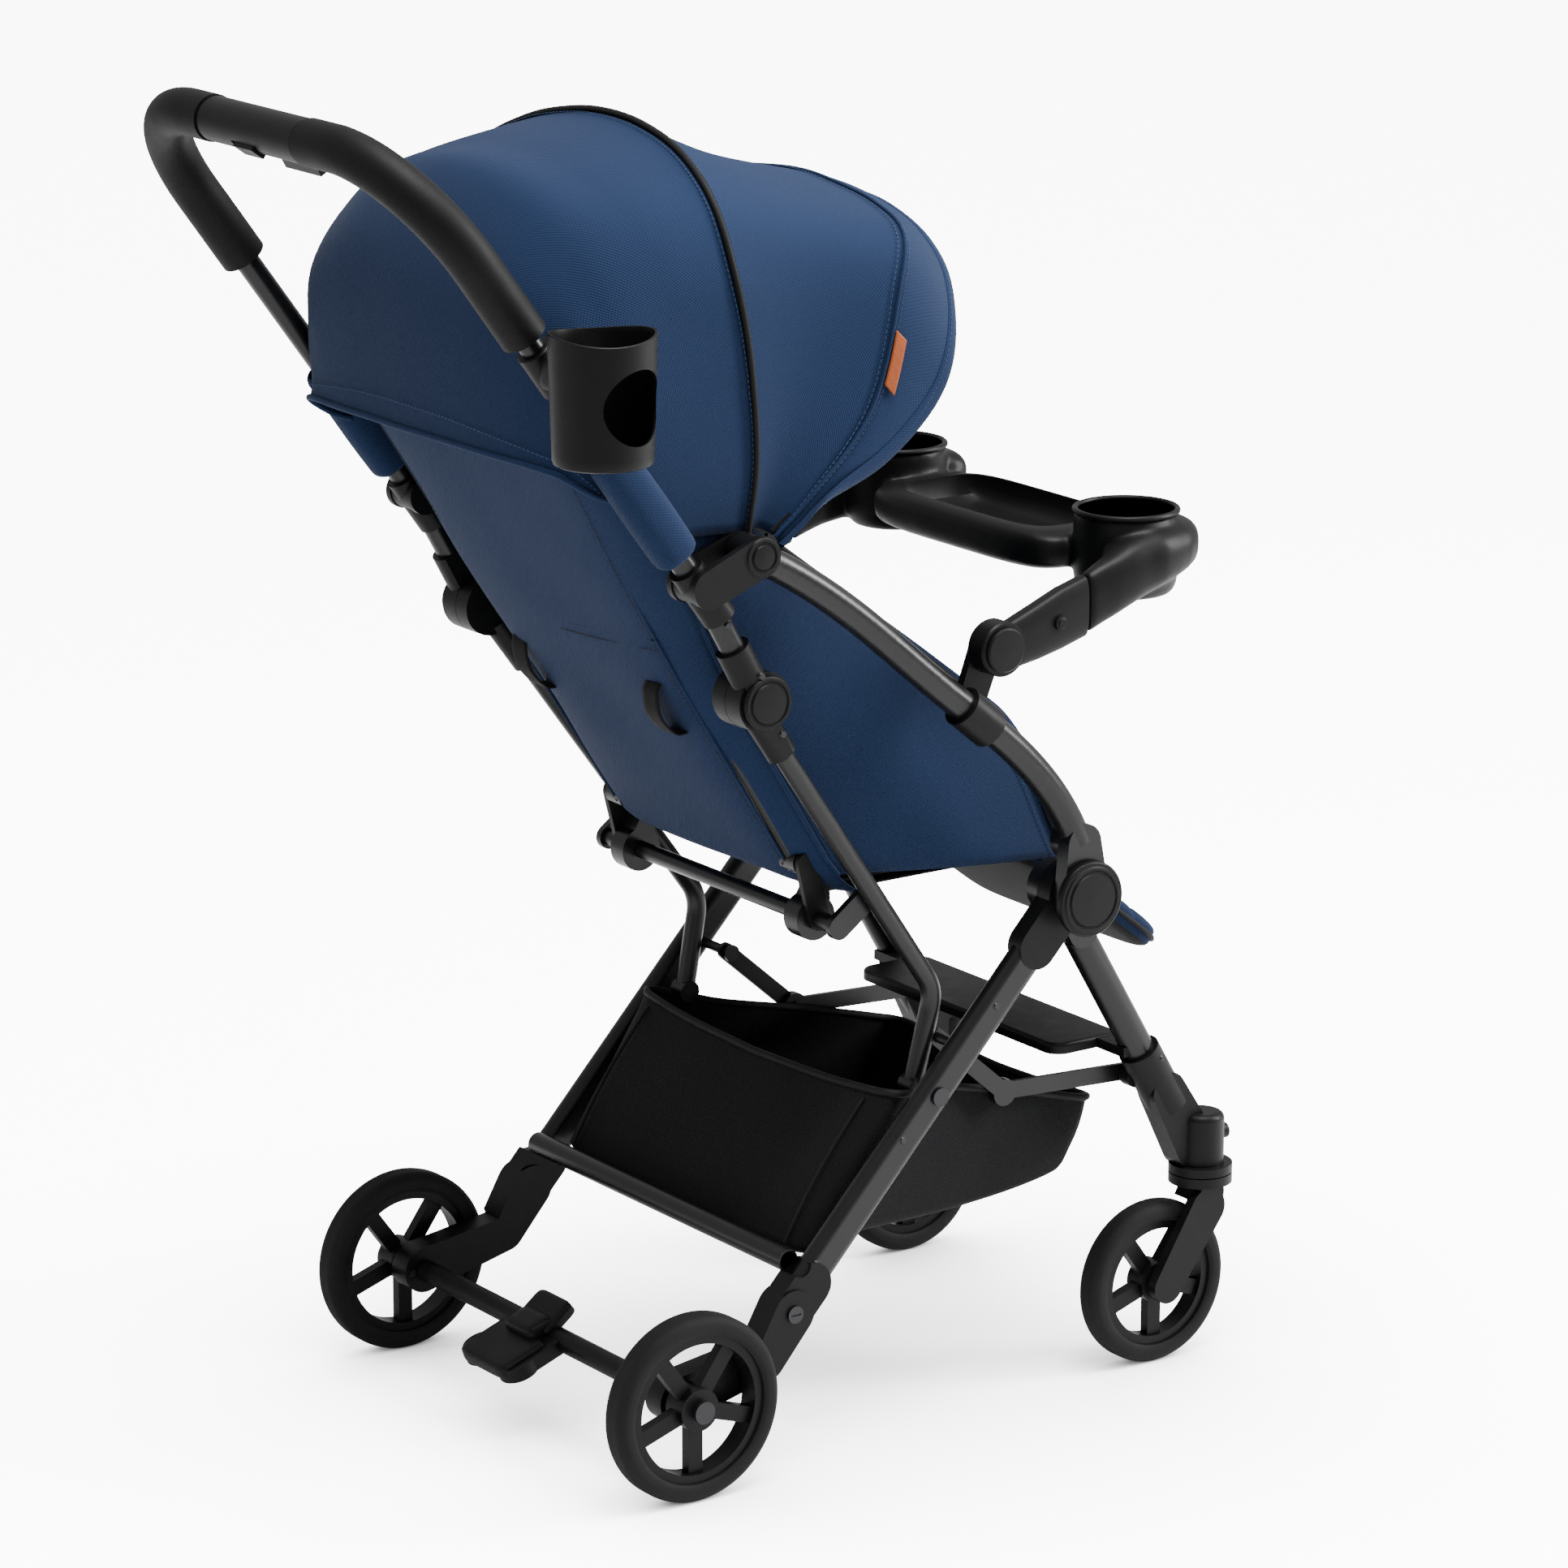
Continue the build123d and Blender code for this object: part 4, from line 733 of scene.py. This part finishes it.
# %% [markdown]
# ## Cushion and back pad
# A pad is two layers of cloth sewn round foam. It starts as a slightly small rounded slab and is blown up
# a little by the cloth simulation, which crowns its middle and pulls in its sides. The sewn channels are
# pressed in afterwards.

# %% Padding helpers
def slab(name, size, centre, turn, material, steps=(30, 30, 6), round_power=6.0):
    """A rounded slab: a box of points pushed onto a rounded block, then turned about Y and placed."""
    half = np.array(size) / 2
    points, faces, index = [], [], {}

    def corner(i, j, k):
        key = (i, j, k)
        if key not in index:
            u = np.array((2 * i / steps[0] - 1, 2 * j / steps[1] - 1, 2 * k / steps[2] - 1))
            norm = (np.abs(u) ** round_power).sum() ** (1 / round_power)
            flat = np.abs(u).max()
            index[key] = len(points)
            points.append(u / norm * flat * half)
        return index[key]

    for axis in range(3):
        a, b = [k for k in range(3) if k != axis]
        for end in (0, steps[axis]):
            for i in range(steps[a]):
                for j in range(steps[b]):
                    ring = []
                    for di, dj in ((0, 0), (1, 0), (1, 1), (0, 1)):
                        spot = [0, 0, 0]
                        spot[axis], spot[a], spot[b] = end, i + di, j + dj
                        ring.append(corner(*spot))
                    flip = (end == 0) != (axis == 1)
                    faces.append(ring[::-1] if flip else ring)
    mesh = bpy.data.meshes.new(name)
    mesh.from_pydata([tuple(p) for p in points], [], faces)
    shade_smooth(mesh)
    mesh.transform(Matrix.Translation(centre) @ Matrix.Rotation(turn, 4, "Y"))
    mesh.materials.append(material)
    return link(name, mesh)


def inflate(piece, cap, pressure=4.0):
    """Blow a slab up as cloth, with no point moving more than cap."""
    remesh = piece.modifiers.new("even", "REMESH")
    remesh.mode = "VOXEL"
    remesh.voxel_size = 5 * MM
    settle(piece)
    before = np.array([v.co for v in piece.data.vertices])
    cloth = piece.modifiers.new("cloth", "CLOTH")
    cloth.settings.use_pressure = True
    cloth.settings.uniform_pressure_force = pressure
    cloth.settings.effector_weights.gravity = 0.0
    cloth.settings.quality = 5
    for step in range(1, 21):
        bpy.context.scene.frame_set(step)
    settle(piece)
    bpy.context.scene.frame_set(1)
    after = np.array([v.co for v in piece.data.vertices])
    move = after - before
    long = np.linalg.norm(move, axis=1, keepdims=True)
    move *= np.minimum(1.0, cap / np.maximum(long, 1e-9))
    piece.data.vertices.foreach_set("co", (before + move).ravel())
    fine = piece.modifiers.new("fine", "SUBSURF")
    fine.levels = fine.render_levels = 1
    settle(piece)
    shade_smooth(piece.data)
    print(piece.name, "points", len(piece.data.vertices))
    return piece


def press_channels(piece, along, up, places, width, depth):
    """Press sewn channels into the side that faces up, across the given places along the pad."""
    along, up = np.array(along), np.array(up)
    points = np.array([v.co for v in piece.data.vertices])
    middle = np.median(points @ up)
    run = points @ along
    for place in places:
        groove = np.exp(-((run - place) / width) ** 2) * depth
        points -= up * (groove * np.clip((points @ up - middle) / 0.006, 0, 1))[:, None]
    piece.data.vertices.foreach_set("co", points.ravel())
    piece.data.update()


# %% Seat cushion and back pad
low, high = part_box("seat_cushion")
cushion_size = (high - low) - Vector((0.006, 0.006, 0.006))
cushion = slab("seat_cushion_pad", cushion_size, (low + high) / 2, 0.0, NAVY_PAD)
inflate(cushion, 8 * MM)
press_channels(cushion, (1, 0, 0), (0, 0, 1), [low.x + 0.07, low.x + 0.14], 0.004, 5 * MM)
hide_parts("seat_cushion")
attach(cushion, "seat")
PAD_SIZE = (26 * MM, 244 * MM, 414 * MM)
pad_middle = BACK_LOW + BACK_UP * 0.236 + BACK_AHEAD * 0.034
back_pad = slab("backrest_pad_cloth", PAD_SIZE, (pad_middle[0], 0, pad_middle[1]), BACK_TURN, NAVY_PAD,
                (6, 30, 40))
inflate(back_pad, 8 * MM)
pad_run = float(pad_middle @ BACK_UP)
press_channels(back_pad, (BACK_UP[0], 0, BACK_UP[1]), (BACK_AHEAD[0], 0, BACK_AHEAD[1]),
               [pad_run - 0.12, pad_run - 0.03, pad_run + 0.06, pad_run + 0.14], 0.004, 5 * MM)
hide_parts("backrest_pad")
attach(back_pad, "backrest")

# %% [markdown]
# ## Harness
# Five flat straps meet in one buckle. Straps are cut webbing with a woven rib, so they are strips with a
# real thickness. The shoulder straps pass under soft pads.

# %% Harness straps
def ahead_of_back(up, ahead, y):
    spot = BACK_LOW + BACK_UP * up * MM + BACK_AHEAD * ahead * MM
    return (spot[0], y * MM, spot[1])


harness = []
for label, side in SIDES:
    shoulder = smooth_line([ahead_of_back(360, 50, 52 * side), ahead_of_back(300, 56, 52 * side),
                            ahead_of_back(200, 59, 50 * side), ahead_of_back(120, 62, 44 * side)], 40)
    harness.append(strap("shoulder_strap_" + label, shoulder, (0, 1, 0), 25 * MM, 1.6 * MM,
                         BLACK_CLOTH))
    cover = slab("shoulder_pad_" + label, (9 * MM, 40 * MM, 130 * MM), ahead_of_back(265, 60, 52 * side),
                 BACK_TURN, NAVY_PAD, (4, 10, 24), 3.5)
    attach(cover, "backrest")
for piece in harness:
    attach(piece, "backrest")
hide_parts("harness_straps")
waist = []
for label, side in SIDES:
    line = smooth_line([(0.205, 0.112 * side, 0.488), (0.225, 0.085 * side, 0.499),
                        (0.25, 0.05 * side, 0.513), (0.27, 0.024 * side, 0.519)], 30)
    waist.append(strap("waist_strap_" + label, line, (0.15, 0, 1), 22 * MM, 1.6 * MM, BLACK_CLOTH))
crotch = smooth_line([(0.292, 0, 0.483), (0.281, 0, 0.492), (0.272, 0, 0.507)], 16)
waist.append(strap("crotch_strap", crotch, (0, 1, 0), 25 * MM, 1.6 * MM, BLACK_CLOTH))
for piece in waist:
    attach(piece, "seat")

# %% [markdown]
# ## Footrest
# A board in a sewn cover, blue above and ribbed black below. It is one rounded slab, with the finish
# chosen face by face from the way each face points.

# %% Footrest cover
low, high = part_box("footrest_cover")
rest_turn = math.radians(38.0)
rest_middle = (low + high) / 2 + Vector((5.5 * MM, 0, -4.5 * MM))
footrest = slab("footrest_pad", (160 * MM, 242 * MM, 24 * MM), rest_middle, rest_turn, NAVY_PAD,
                (30, 40, 6), 7.0)
footrest.data.materials.append(BLACK_CLOTH)
sole = Vector((-math.sin(rest_turn), 0, -math.cos(rest_turn)))
rest_way = (math.cos(rest_turn), 0, -math.sin(rest_turn))
for face in footrest.data.polygons:
    if face.normal.dot(sole) > 0.35:
        face.material_index = 1
fine = footrest.modifiers.new("fine", "SUBSURF")
fine.levels = fine.render_levels = 1
settle(footrest)
press_channels(footrest, rest_way, tuple(-sole),
               [rest_middle.dot(Vector(rest_way)) + s * 0.036 for s in (-1, 0, 1)], 0.003, 2.5 * MM)
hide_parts("footrest_cover")
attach(footrest, "footrest")
edge_loop = []
for k in range(81):
    turn = TAU * k / 80
    c, s = math.cos(turn), math.sin(turn)
    grow = (abs(c) ** 7 + abs(s) ** 7) ** (-1 / 7)
    point = rest_middle + Vector(rest_way) * (0.0805 * c * grow) + Vector((0, 0.1215 * s * grow, 0))
    edge_loop.append(tuple(point))
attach(piping("footrest_piping", [edge_loop], 2.2 * MM), "footrest")

# %% [markdown]
# ## Shopping basket
# The basket is one shell of coarse black cloth: a flat rear panel between the rear legs, sides that narrow
# towards the front, and a rounded floor.

# %% Basket
def closed_loop(near_half, count=120):
    right = [(x * MM, y * MM, z * MM) for x, y, z in near_half]
    left = [(x, -y, z) for x, y, z in reversed(right[1:-1])]
    return smooth_line(right + left + [right[0]], count + 1)[:-1]


BASKET_TOP = [(205, 0, 268), (207, -90, 270), (210, -150, 274), (216, -171, 275), (238, -166, 270),
              (268, -140, 263), (350, -134, 244), (424, -134, 224), (444, -122, 219), (447, -60, 214),
              (447, 0, 212)]
BASKET_LOW = [(131, 0, 158), (131, -90, 158), (132, -148, 159), (138, -167, 160), (160, -163, 160),
              (205, -140, 158), (310, -134, 156), (396, -133, 164), (424, -120, 168), (430, -60, 166),
              (430, 0, 166)]
top_loop, low_loop = closed_loop(BASKET_TOP), closed_loop(BASKET_LOW)
basket_middle = np.array((0.29, 0.0, 0.2))
basket_rows = [top_loop]
for t in np.linspace(0, 1, 26)[1:]:
    row = top_loop * (1 - t) + low_loop * t
    out = row - basket_middle
    out[:, 2] = 0
    basket_rows.append(row + unit(out) * 0.004 * math.sin(math.pi * t))
floor_middle = np.array((0.275, 0.0, 0.150))
FLOOR_RINGS = ((0.985, 0.003), (0.95, 0.006), (0.88, 0.008), (0.7, 0.009), (0.45, 0.010), (0.2, 0.011),
               (0.04, 0.011))
for share, drop in FLOOR_RINGS:
    row = floor_middle + (low_loop - floor_middle) * share
    row[:, 2] = low_loop[:, 2] - drop
    basket_rows.append(row)
basket_rows = ripple(basket_rows, basket_middle, 3 * MM, 11.0, 5.5)
basket = grid_piece("shopping_basket", basket_rows, BLACK_CLOTH, thickness=1.5 * MM, closed=True)
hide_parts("basket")
panel_frame = [[(0.2055 * (1 - t) + 0.1305 * t - 0.005 * math.sin(math.pi * t) - 0.002, y,
                 0.268 * (1 - t) + 0.164 * t) for t in np.linspace(0, 1, 20)] for y in (-0.150, 0.150)]
basket_trim = [
    piping("basket_top_binding", [np.vstack([top_loop, top_loop[:1]])], 3.2 * MM),
    piping("basket_panel_seams", panel_frame, 1.6 * MM),
]
for piece in [basket] + basket_trim:
    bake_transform(piece)

# %% [markdown]
# ## Handle sleeves
# A short sleeve of cloth wraps each side of the push handle where the canopy ends. It is stitched tight, so
# nothing would be gained by simulating it: rounded rings along the tube give its shape, with drawn-in ends.

# %% Cloth sleeves on the push handle
HANDLE_UP = np.array((-0.5925, 0.8056))
SLEEVE_RINGS = ((46, 0.86), (48, 0.97), (54, 1.0), (80, 1.03), (110, 1.02), (140, 1.0), (146, 0.97),
                (149, 0.84))
for label, side in SIDES:
    rows = []
    for run, grow in SLEEVE_RINGS:
        x, z = np.array((24.0, 702.0)) + HANDLE_UP * run
        ring = []
        for k in range(32):
            turn = TAU * k / 32
            ahead = 16.5 * grow * math.copysign(abs(math.cos(turn)) ** 0.8, math.cos(turn))
            out = 14.5 * grow * math.copysign(abs(math.sin(turn)) ** 0.8, math.sin(turn))
            ring.append(((x + ahead * 0.8056) * MM, (198 + out) * side * MM, (z + ahead * 0.5925) * MM))
        rows.append(ring)
    rows = across(rows, 40)
    sleeve = grid_piece("handle_sleeve_" + label, rows, NAVY, closed=True, outward=side)
    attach(sleeve, "push_handle")

# %% [markdown]
# ## Moulded parts
# The tray, its arms, the parent's cup holder and the brake pads are soft-edged plastic mouldings. They are
# made from simple closed bodies, which are either melted into one skin or only gathered into one piece.

# %% Moulding helpers
def shell(name, rings):
    """A closed body through rings of points, with a flat face over each end."""
    rings = np.array(rings)
    m, n = rings.shape[:2]
    faces = [(i * n + j, i * n + (j + 1) % n, (i + 1) * n + (j + 1) % n, (i + 1) * n + j)
             for i in range(m - 1) for j in range(n)]
    faces.append(tuple(reversed(range(n))))
    faces.append(tuple((m - 1) * n + j for j in range(n)))
    mesh = bpy.data.meshes.new(name)
    mesh.from_pydata(rings.reshape(-1, 3).tolist(), [], faces)
    tidy = bmesh.new()
    tidy.from_mesh(mesh)
    bmesh.ops.recalc_face_normals(tidy, faces=tidy.faces)
    tidy.to_mesh(mesh)
    tidy.free()
    mesh.materials.append(PLASTIC)
    return link(name, mesh)


def turned(name, profile, centre, axis, count=72):
    """A body turned about an axis, from a profile of radius and height in millimetres."""
    frame_turn = Vector(axis).to_track_quat("Z", "Y")
    rings = []
    for radius, height in profile:
        ring = [(radius * math.cos(TAU * k / count), radius * math.sin(TAU * k / count), height)
                for k in range(count)]
        rings.append([tuple((Vector(centre) + frame_turn @ Vector(p)) * MM) for p in ring])
    return shell(name, rings)


def lofted(name, sections, power, count=40):
    """A body through rounded sections that face X: each is (x, y, z, half width, half height) in mm."""
    rings = []
    for x, y, z, wide, tall in sections:
        ring = []
        for k in range(count):
            c, s = math.cos(TAU * k / count), math.sin(TAU * k / count)
            grow = (abs(c) ** power + abs(s) ** power) ** (-1 / power)
            ring.append((x * MM, (y + wide * c * grow) * MM, (z + tall * s * grow) * MM))
        rings.append(ring)
    return shell(name, rings)


def gather(name, pieces):
    """One object from several, without joining their skins."""
    whole = bmesh.new()
    for piece in pieces:
        whole.from_mesh(piece.data)
    mesh = bpy.data.meshes.new(name)
    whole.to_mesh(mesh)
    whole.free()
    mesh.materials.append(pieces[0].data.materials[0])
    for piece in pieces:
        bpy.data.objects.remove(piece)
    return link(name, mesh)


def fuse(name, pieces, voxel, rounds):
    """Melt overlapping bodies into one smooth skin."""
    whole = gather(name, pieces)
    even = whole.modifiers.new("even", "REMESH")
    even.mode = "VOXEL"
    even.voxel_size = voxel
    soften = whole.modifiers.new("soften", "SMOOTH")
    soften.factor = 0.5
    soften.iterations = rounds
    return settle(whole)


def cut(piece, cutters):
    """Take the cutters out of a piece."""
    for cutter in cutters:
        take = piece.modifiers.new("cut", "BOOLEAN")
        take.object = cutter
        take.solver = "EXACT"
    settle(piece)
    for cutter in cutters:
        bpy.data.objects.remove(cutter)
    return piece


def crisp(piece, angle=32.0):
    """Shade smoothly, but leave edges sharper than the angle."""
    shade_smooth(piece.data)
    piece.data.set_sharp_from_angle(angle=math.radians(angle))
    print(piece.name, "faces", len(piece.data.polygons))
    return piece


def rolled_rim(name, radius, thick, height, centre):
    """A rounded ring lying on a rim."""
    profile = [(radius + thick * math.cos(TAU * k / 12), height + thick * math.sin(TAU * k / 12))
               for k in range(13)]
    return turned(name, profile, centre, (0, 0, 1))


# %% [markdown]
# ## Tray
# The tray is one moulding: a bar with a shallow dish, and a cup well at each end that runs back to its arm.
# Separate bodies would show a hard line where they meet, so they are melted together before the wells and
# the dish are cut. A rolled rim is laid on each well last, because an even remesh would blur it.

# %% Tray
TRAY_MIDDLE_X = 451.0
CUP_SPOT = (454.0, 153.0)
TRAY_END = [(378, 198, 650, 9.5, 24), (392, 197, 656, 12, 24), (405, 196, 661, 15, 24),
            (420, 191, 667, 21, 25), (435, 185, 672, 27, 25), (450, 178, 676, 35, 25),
            (465, 170, 678, 40, 24), (480, 164, 680, 41, 22), (492, 158, 681, 39, 20),
            (502, 153, 682, 32, 17), (509, 150, 682, 22, 12)]
CUP_WALL = [(28, 640), (36, 642), (40, 648), (41.5, 660), (41.5, 707)]
CUP_BORE = [(37, 648), (38.2, 650), (38.2, 740)]
CUP_RIM = (40.4, 2.4, 707.5)
DISH_SIZE = (0.092, 0.198, 0.060)
cup_spots = [(CUP_SPOT[0], CUP_SPOT[1] * side, 0) for side in (1, -1)]
bodies = []
for side in (1, -1):
    bodies.append(lofted("tray_end", [(x, y * side, z, w, h) for x, y, z, w, h in TRAY_END], 2.8))
bodies += [turned("cup_wall", CUP_WALL, spot, (0, 0, 1)) for spot in cup_spots]
bodies.append(slab("tray_bar", (0.118, 0.250, 0.036), (0.4515, 0, 0.671), 0.0, PLASTIC, (12, 24, 6), 5.0))
tray = fuse("feeding_tray", bodies, 2.6 * MM, 10)
dish = slab("dish", DISH_SIZE, (TRAY_MIDDLE_X * MM, 0, 0.6925), 0.0, PLASTIC, (16, 24, 8), 5.0)
cut(tray, [dish] + [turned("bore", CUP_BORE, spot, (0, 0, 1)) for spot in cup_spots])
rims = [rolled_rim("rim", *CUP_RIM, spot) for spot in cup_spots]
tray = crisp(gather("feeding_tray", [tray] + rims))
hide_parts("tray")
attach(tray, "tray")

# %% [markdown]
# ## Tray arms
# Each arm is a rounded bar on a round pivot, with a stud that holds the tray. The bar is lofted and the
# round parts are turned. They only touch, as the real ones do, so they are gathered and not melted.

# %% Tray arms, with their pivot covers and studs
ARM = [(297, 198, 627, 9, 17), (312, 198, 630, 9.5, 20), (330, 198, 635, 10, 22), (352, 198, 642, 10, 24),
       (376, 198, 649, 9.5, 24)]
ARM_PIVOT = (294.0, 627.0)
ARM_ROUNDS = [("arm_eye", [(20.5, -10), (21.5, -8.5), (21.5, 8.5), (20.5, 10)], ARM_PIVOT),
              ("arm_cover", [(17.5, 9), (17.5, 12.2), (16.2, 13.4), (4, 14)], ARM_PIVOT),
              ("arm_stud", [(4.5, 8), (4.5, 12.6), (3.4, 13.6)], (348, 641))]
arms = []
for side in (1, -1):
    arms.append(lofted("arm", [(x, y * side, z, w, h) for x, y, z, w, h in ARM], 3.4))
    for name, profile, (x, z) in ARM_ROUNDS:
        arms.append(turned(name, profile, (x, 198 * side, z), (0, side, 0)))
arm_piece = crisp(gather("tray_arm_mouldings", arms))
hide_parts("tray_arms")
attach(arm_piece, "tray_arms")

# %% [markdown]
# ## Parent's cup holder
# A thin cup with a wavy rim and an oval window clips onto the push handle. Rings up the outside, over the
# rim and down the inside make its wall, and the rings near the rim dip by an amount that changes round the
# cup. The window is cut right through with one turned body.

# %% Parent's cup holder
CUP_TALL = 96.0
low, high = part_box("parent_cup_holder")
cup_x, cup_y, cup_z = low.x / MM + 40.0, low.y / MM + 40.0, low.z / MM
rings = []
FLOOR_THICK = 4.0
wall_tall = CUP_TALL - FLOOR_THICK
walls = [(33.5, 0, 0), (36.0, 1.2, 0), (37.0, FLOOR_THICK, 0)]
walls += [(37.0 + 2.8 * t, FLOOR_THICK + wall_tall * t, t ** 3) for t in np.linspace(0.05, 1, 24)]
walls += [(39.2, CUP_TALL + 0.6, 1), (37.6, CUP_TALL + 0.4, 1)]
walls += [(35.6 + 1.8 * t, FLOOR_THICK + wall_tall * t, t ** 3) for t in np.linspace(0.99, 0.0, 24)]
for radius, height, sway in walls:
    ring = []
    for k in range(96):
        turn = TAU * k / 96
        dip = sway * 4.5 * (1 - math.cos(2 * turn + 0.7)) / 2
        ring.append(((cup_x + radius * math.cos(turn)) * MM, (cup_y + radius * math.sin(turn)) * MM,
                     (cup_z + height - dip) * MM))
    rings.append(ring)
cup = shell("parent_cup", rings)
window = turned("window", [(28, 0), (28, 60)], (cup_x + 4.0, cup_y, cup_z + 46.0), (0.10, -1, 0))
cut(cup, [window])
HANDLE_WAY = Vector((-0.5926, 0, 0.8056))
clip_spot = Vector((cup_x - 6.0, -198.0, cup_z + 60.0))
collar = turned("collar", [(12.6, -19), (13.6, -18), (13.6, 18), (12.6, 19)], clip_spot, HANDLE_WAY)
lug = slab("lug", (0.026, 0.034, 0.026), (clip_spot + Vector((0, -24, 0))) * MM, 0.0, PLASTIC, (8, 8, 8), 6.0)
cup = crisp(gather("parent_cup", [cup, collar, lug]))
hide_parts("parent_cup_holder")
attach(cup, "push_handle")

# %% [markdown]
# ## Brake pads
# The foot brake has a broad pad to press down and a smaller one above it that lets go. They are soft
# rounded blocks tilted towards the foot, laid over the brake's bar.

# %% Brake pads, one to lock and one to let go
pads = [slab("pad", (0.046, 0.066, 0.013), (-0.036, 0, 0.0650), math.radians(-20), PLASTIC, (14, 18, 6), 7.0),
        slab("pad", (0.034, 0.046, 0.012), (0.003, 0, 0.0870), math.radians(-38), PLASTIC, (12, 14, 6), 7.0),
        slab("pad", (0.026, 0.040, 0.026), (-0.010, 0, 0.0760), math.radians(-20), PLASTIC, (8, 12, 8), 6.0)]
brake_pads = crisp(gather("brake_pads", pads), 50)
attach(brake_pads, "brake")

# %% [markdown]
# ## Rivets
# Low round rivet heads hold the tubes to their castings. They repeat, so a Geometry Nodes tree lays one
# head on each point of a line, and each body of the frame gets one line for each side.

# %% Rivets
RIVET_TREE, nodes = new_tree(
    "rivets", [("Radius", 0.003), ("Height", 0.0016), ("Facing", 1.0)],
    {"head": "GeometryNodeMeshCone", "shrink": "ShaderNodeMath", "aim": "ShaderNodeCombineXYZ", **LAY_KINDS},
    {("shrink", "operation"): "MULTIPLY", ("align", "axis"): "Z"},
    ["start.Radius > head.Radius Bottom", "start.Radius > shrink.Value", "shrink.Value > head.Radius Top",
     "start.Height > head.Depth", "start.Facing > aim.Y", "aim.Vector > align.Vector",
     "start.Geometry > lay.Points", "head.Mesh > lay.Instance", *LAY_WIRES])
set_node(nodes["head"], Vertices=20)
nodes["shrink"].inputs[1].default_value = 0.72
RIVETS = {
    "rear_frame": [(300, 193.5, 337), (210, 193.5, 244), (128, 193.5, 159)],
    "front_frame": [(470, 189.5, 262), (398, 176.5, 392)],
    "push_handle": [(64, 211.5, 640), (10, 211.5, 721), (36, 207.5, 682)],
    "lower_frame": [(100, 187.5, 585), (88, 187.5, 601)],
}
for body, places in RIVETS.items():
    for label, side in SIDES:
        line = [(x * MM, y * side * MM, z * MM) for x, y, z in places]
        heads = run_tree(body + "_rivets_" + label, RIVET_TREE, [line], Radius=3.4 * MM, Height=1.6 * MM,
                         Facing=float(side), Material=MATERIALS["steel"])
        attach(heads, body)

# %% [markdown]
# ## Joint covers
# A stepped round cover hides each hinge's pin. It could be a stack of discs, but one turned profile gives
# all its steps at once. The largest covers the hub that the whole stroller folds on.

# %% Round joint covers
COVER_STEPS = ((0, -2), (0, 0.6), (1.2, 1.8), (3.2, 1.8), (4.0, 0.8), (5.0, 0.8), (6.0, 2.2))
COVERS = {
    "push_handle": [(62.5, 732.0, 215.5, 15.0), (70.0, 618.0, 211.5, 21.0)],
    "rear_frame": [(376.0, 416.0, 215.5, 27.0)],
}
for body, places in COVERS.items():
    rounds = []
    for x, z, out, radius in places:
        for side in (1, -1):
            profile = [(radius - step, height) for step, height in COVER_STEPS] + [(2, 2.8)]
            rounds.append(turned("cover", profile, (x, out * side, z), (0, side, 0)))
    piece = crisp(gather(body + "_joint_covers", rounds))
    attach(piece, body)

# %% Measure the overall bounds and finish
low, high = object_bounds()
